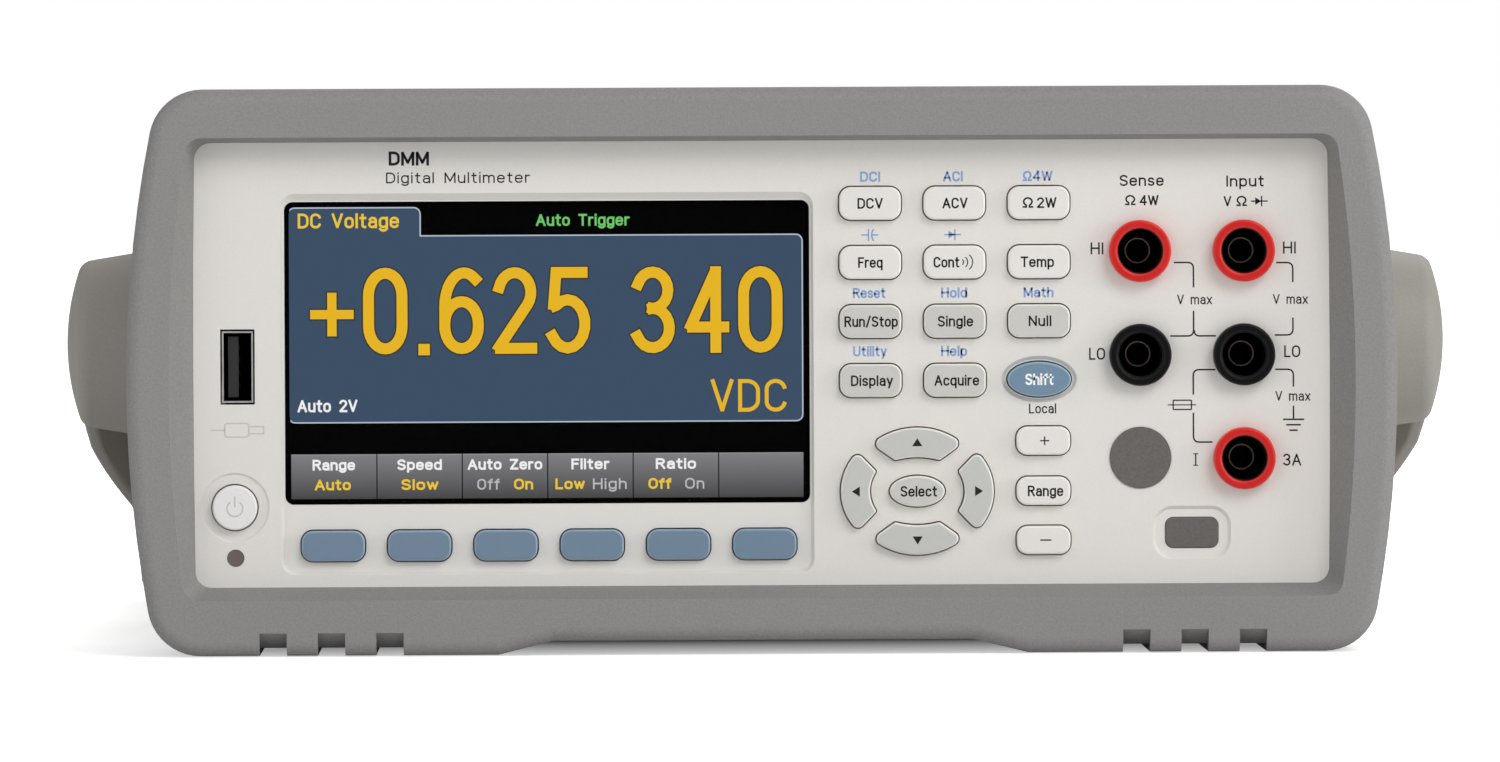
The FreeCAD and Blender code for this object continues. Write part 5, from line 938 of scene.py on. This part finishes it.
def port_contacts():
    """Four sprung contacts along the tongue of the host port."""
    low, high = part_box("usb_host_tongue")
    side, front = high.x / MM, low.y / MM
    middle = (low.z + high.z) / 2 / MM
    mesh = bmesh.new()
    for row in range(CONTACTS):
        level = middle + (row - (CONTACTS - 1) / 2) * CONTACT_PITCH
        spring = [(side - 0.05, front + 0.9), (side + 0.1, front + 1.1), (side + 0.28, front + 3.0),
                  (side + 0.1, front + 4.8), (side + 0.1, front + 7.5), (side - 0.05, front + 7.5)]
        under, over = ([mesh.verts.new((x * MM, y * MM, z * MM)) for x, y in spring]
                       for z in (level - CONTACT_HALF, level + CONTACT_HALF))
        mesh.faces.new(under)
        mesh.faces.new(reversed(over))
        for i in range(len(spring)):
            j = (i + 1) % len(spring)
            mesh.faces.new((under[i], over[i], over[j], under[j]))
    bmesh.ops.recalc_face_normals(mesh, faces=mesh.faces)
    piece("port_contacts", mesh, CONTACT_GOLD, "instrument")


# ---------------------------------------------------------------- studio

# each light's name, place, size in metres, power in watts and aim
LIGHTS = (("key_light", (1.3, -2.2, 2.0), 1.5, 38.0, (0.0, -0.1, 0.05)),
          ("left_light", (-1.8, -2.0, 0.7), 1.8, 12.0, (0.0, -0.1, 0.05)),
          ("right_light", (1.6, -0.62, 0.4), 0.7, 8.5, (0.0, -0.12, 0.05)),
          ("back_light", (0.8, 2.0, 2.2), 1.8, 24.0, (0.0, 0.1, 0.05)))
SURROUNDING_LIGHT = 0.40
FLOOR_HALF, FLOOR_DROP = 9.0, 0.0002
FLOOR_GLOW, FLOOR_GLOW_SEEN = 0.08, 1.0
# how far from the middle the floor's glow starts and is whole, along each axis; nearer the middle the glow
# is taken away, a painted shade under the case
SHADED = (("X", 0.06, 0.16), ("Y", 0.08, 0.20))
CAMERA_PLACE = (-0.034, -2.3886, 0.093)
CAMERA_AIM = (-0.0022, -0.1456, 0.0499)
# in degrees and in millimetres
CAMERA_ROLL = -0.25
FILM_WIDTH, LENS = 36.0, 293.4


def lay_floor():
    """Pale floor that glows like a lit sweep, except under the case, where painted shade takes its glow away
    and its real shadow shows.
    """
    mesh = bmesh.new()
    bmesh.ops.create_grid(mesh, x_segments=8, y_segments=8, size=FLOOR_HALF)
    data = bpy.data.meshes.new("floor")
    mesh.to_mesh(data)
    mesh.free()
    floor = bpy.data.objects.new("floor", data)
    floor.location.z = -FLOOR_DROP
    bpy.context.scene.collection.objects.link(floor)
    shader = Shader("floor_paper", 0.9, specular=0.1)
    shader.colour(shader.mixed(shader.noise(300.0), (0.80, 0.80, 0.80, 1.0), (0.83, 0.83, 0.83, 1.0)))
    parts = shader.add("ShaderNodeSeparateXYZ", Vector=shader.place)
    # painted shade: the floor's glow fades out towards the middle, under the case
    outward = [shader.ranged(shader.maths("ABSOLUTE", parts.outputs[axis]), 0.0, 1.0, inside, outside)
               for axis, inside, outside in SHADED]
    glow_outside_painted_shade = shader.maths("MAXIMUM", *outward)
    shader.feed(shader.surface.inputs["Emission Color"], shader.mixed(glow_outside_painted_shade, BLACK, WHITE))
    ray = shader.add("ShaderNodeLightPath").outputs["Is Camera Ray"]
    shader.feed(shader.surface.inputs["Emission Strength"],
                shader.ranged(ray, FLOOR_GLOW, FLOOR_GLOW_SEEN, 0.0, 1.0))
    data.materials.append(shader.material)


def hang_lights():
    """Large soft lamps, each aimed at the case."""
    for name, place, size, power, aim in LIGHTS:
        light = bpy.data.lights.new(name, "AREA")
        light.size = size
        light.energy = power
        lamp = bpy.data.objects.new(name, light)
        lamp.location = place
        lamp.rotation_euler = (Vector(aim) - Vector(place)).to_track_quat("-Z", "Y").to_euler()
        bpy.context.scene.collection.objects.link(lamp)


def surround():
    """White backdrop, which lights the scene less than it shows."""
    world = bpy.data.worlds.new("studio")
    world.use_nodes = True
    tree = world.node_tree
    tree.nodes.clear()
    lighting, backdrop = (tree.nodes.new("ShaderNodeBackground") for _ in range(2))
    lighting.inputs["Strength"].default_value = SURROUNDING_LIGHT
    backdrop.inputs["Strength"].default_value = 1.0
    for shade in (lighting, backdrop):
        shade.inputs["Color"].default_value = WHITE
    path = tree.nodes.new("ShaderNodeLightPath")
    mix = tree.nodes.new("ShaderNodeMixShader")
    out = tree.nodes.new("ShaderNodeOutputWorld")
    tree.links.new(path.outputs["Is Camera Ray"], mix.inputs[0])
    tree.links.new(lighting.outputs[0], mix.inputs[1])
    tree.links.new(backdrop.outputs[0], mix.inputs[2])
    tree.links.new(mix.outputs[0], out.inputs["Surface"])
    bpy.context.scene.world = world


def set_camera():
    """Long lens a little left of the middle and above it, aimed at the panel."""
    camera = bpy.data.cameras.new("camera")
    camera.sensor_width = FILM_WIDTH
    camera.lens = LENS
    camera.clip_start, camera.clip_end = 0.05, 40.0
    holder = bpy.data.objects.new("camera", camera)
    holder.location = CAMERA_PLACE
    aim = Vector(CAMERA_AIM) - Vector(holder.location)
    holder.rotation_mode = "QUATERNION"
    holder.rotation_quaternion = (aim.to_track_quat("-Z", "Y")
                                  @ Quaternion((0, 0, 1), math.radians(CAMERA_ROLL)))
    bpy.context.scene.collection.objects.link(holder)
    bpy.context.scene.camera = holder
    bpy.context.scene.view_settings.view_transform = "Standard"


finish_nodes()
PANEL = front_of("front_bezel")
key_words()
key_signs()
panel_print(PANEL)
shift_print(PANEL)
relief_signs(PANEL)
picture()
sockets()
port_contacts()
lay_floor()
hang_lights()
surround()
set_camera()
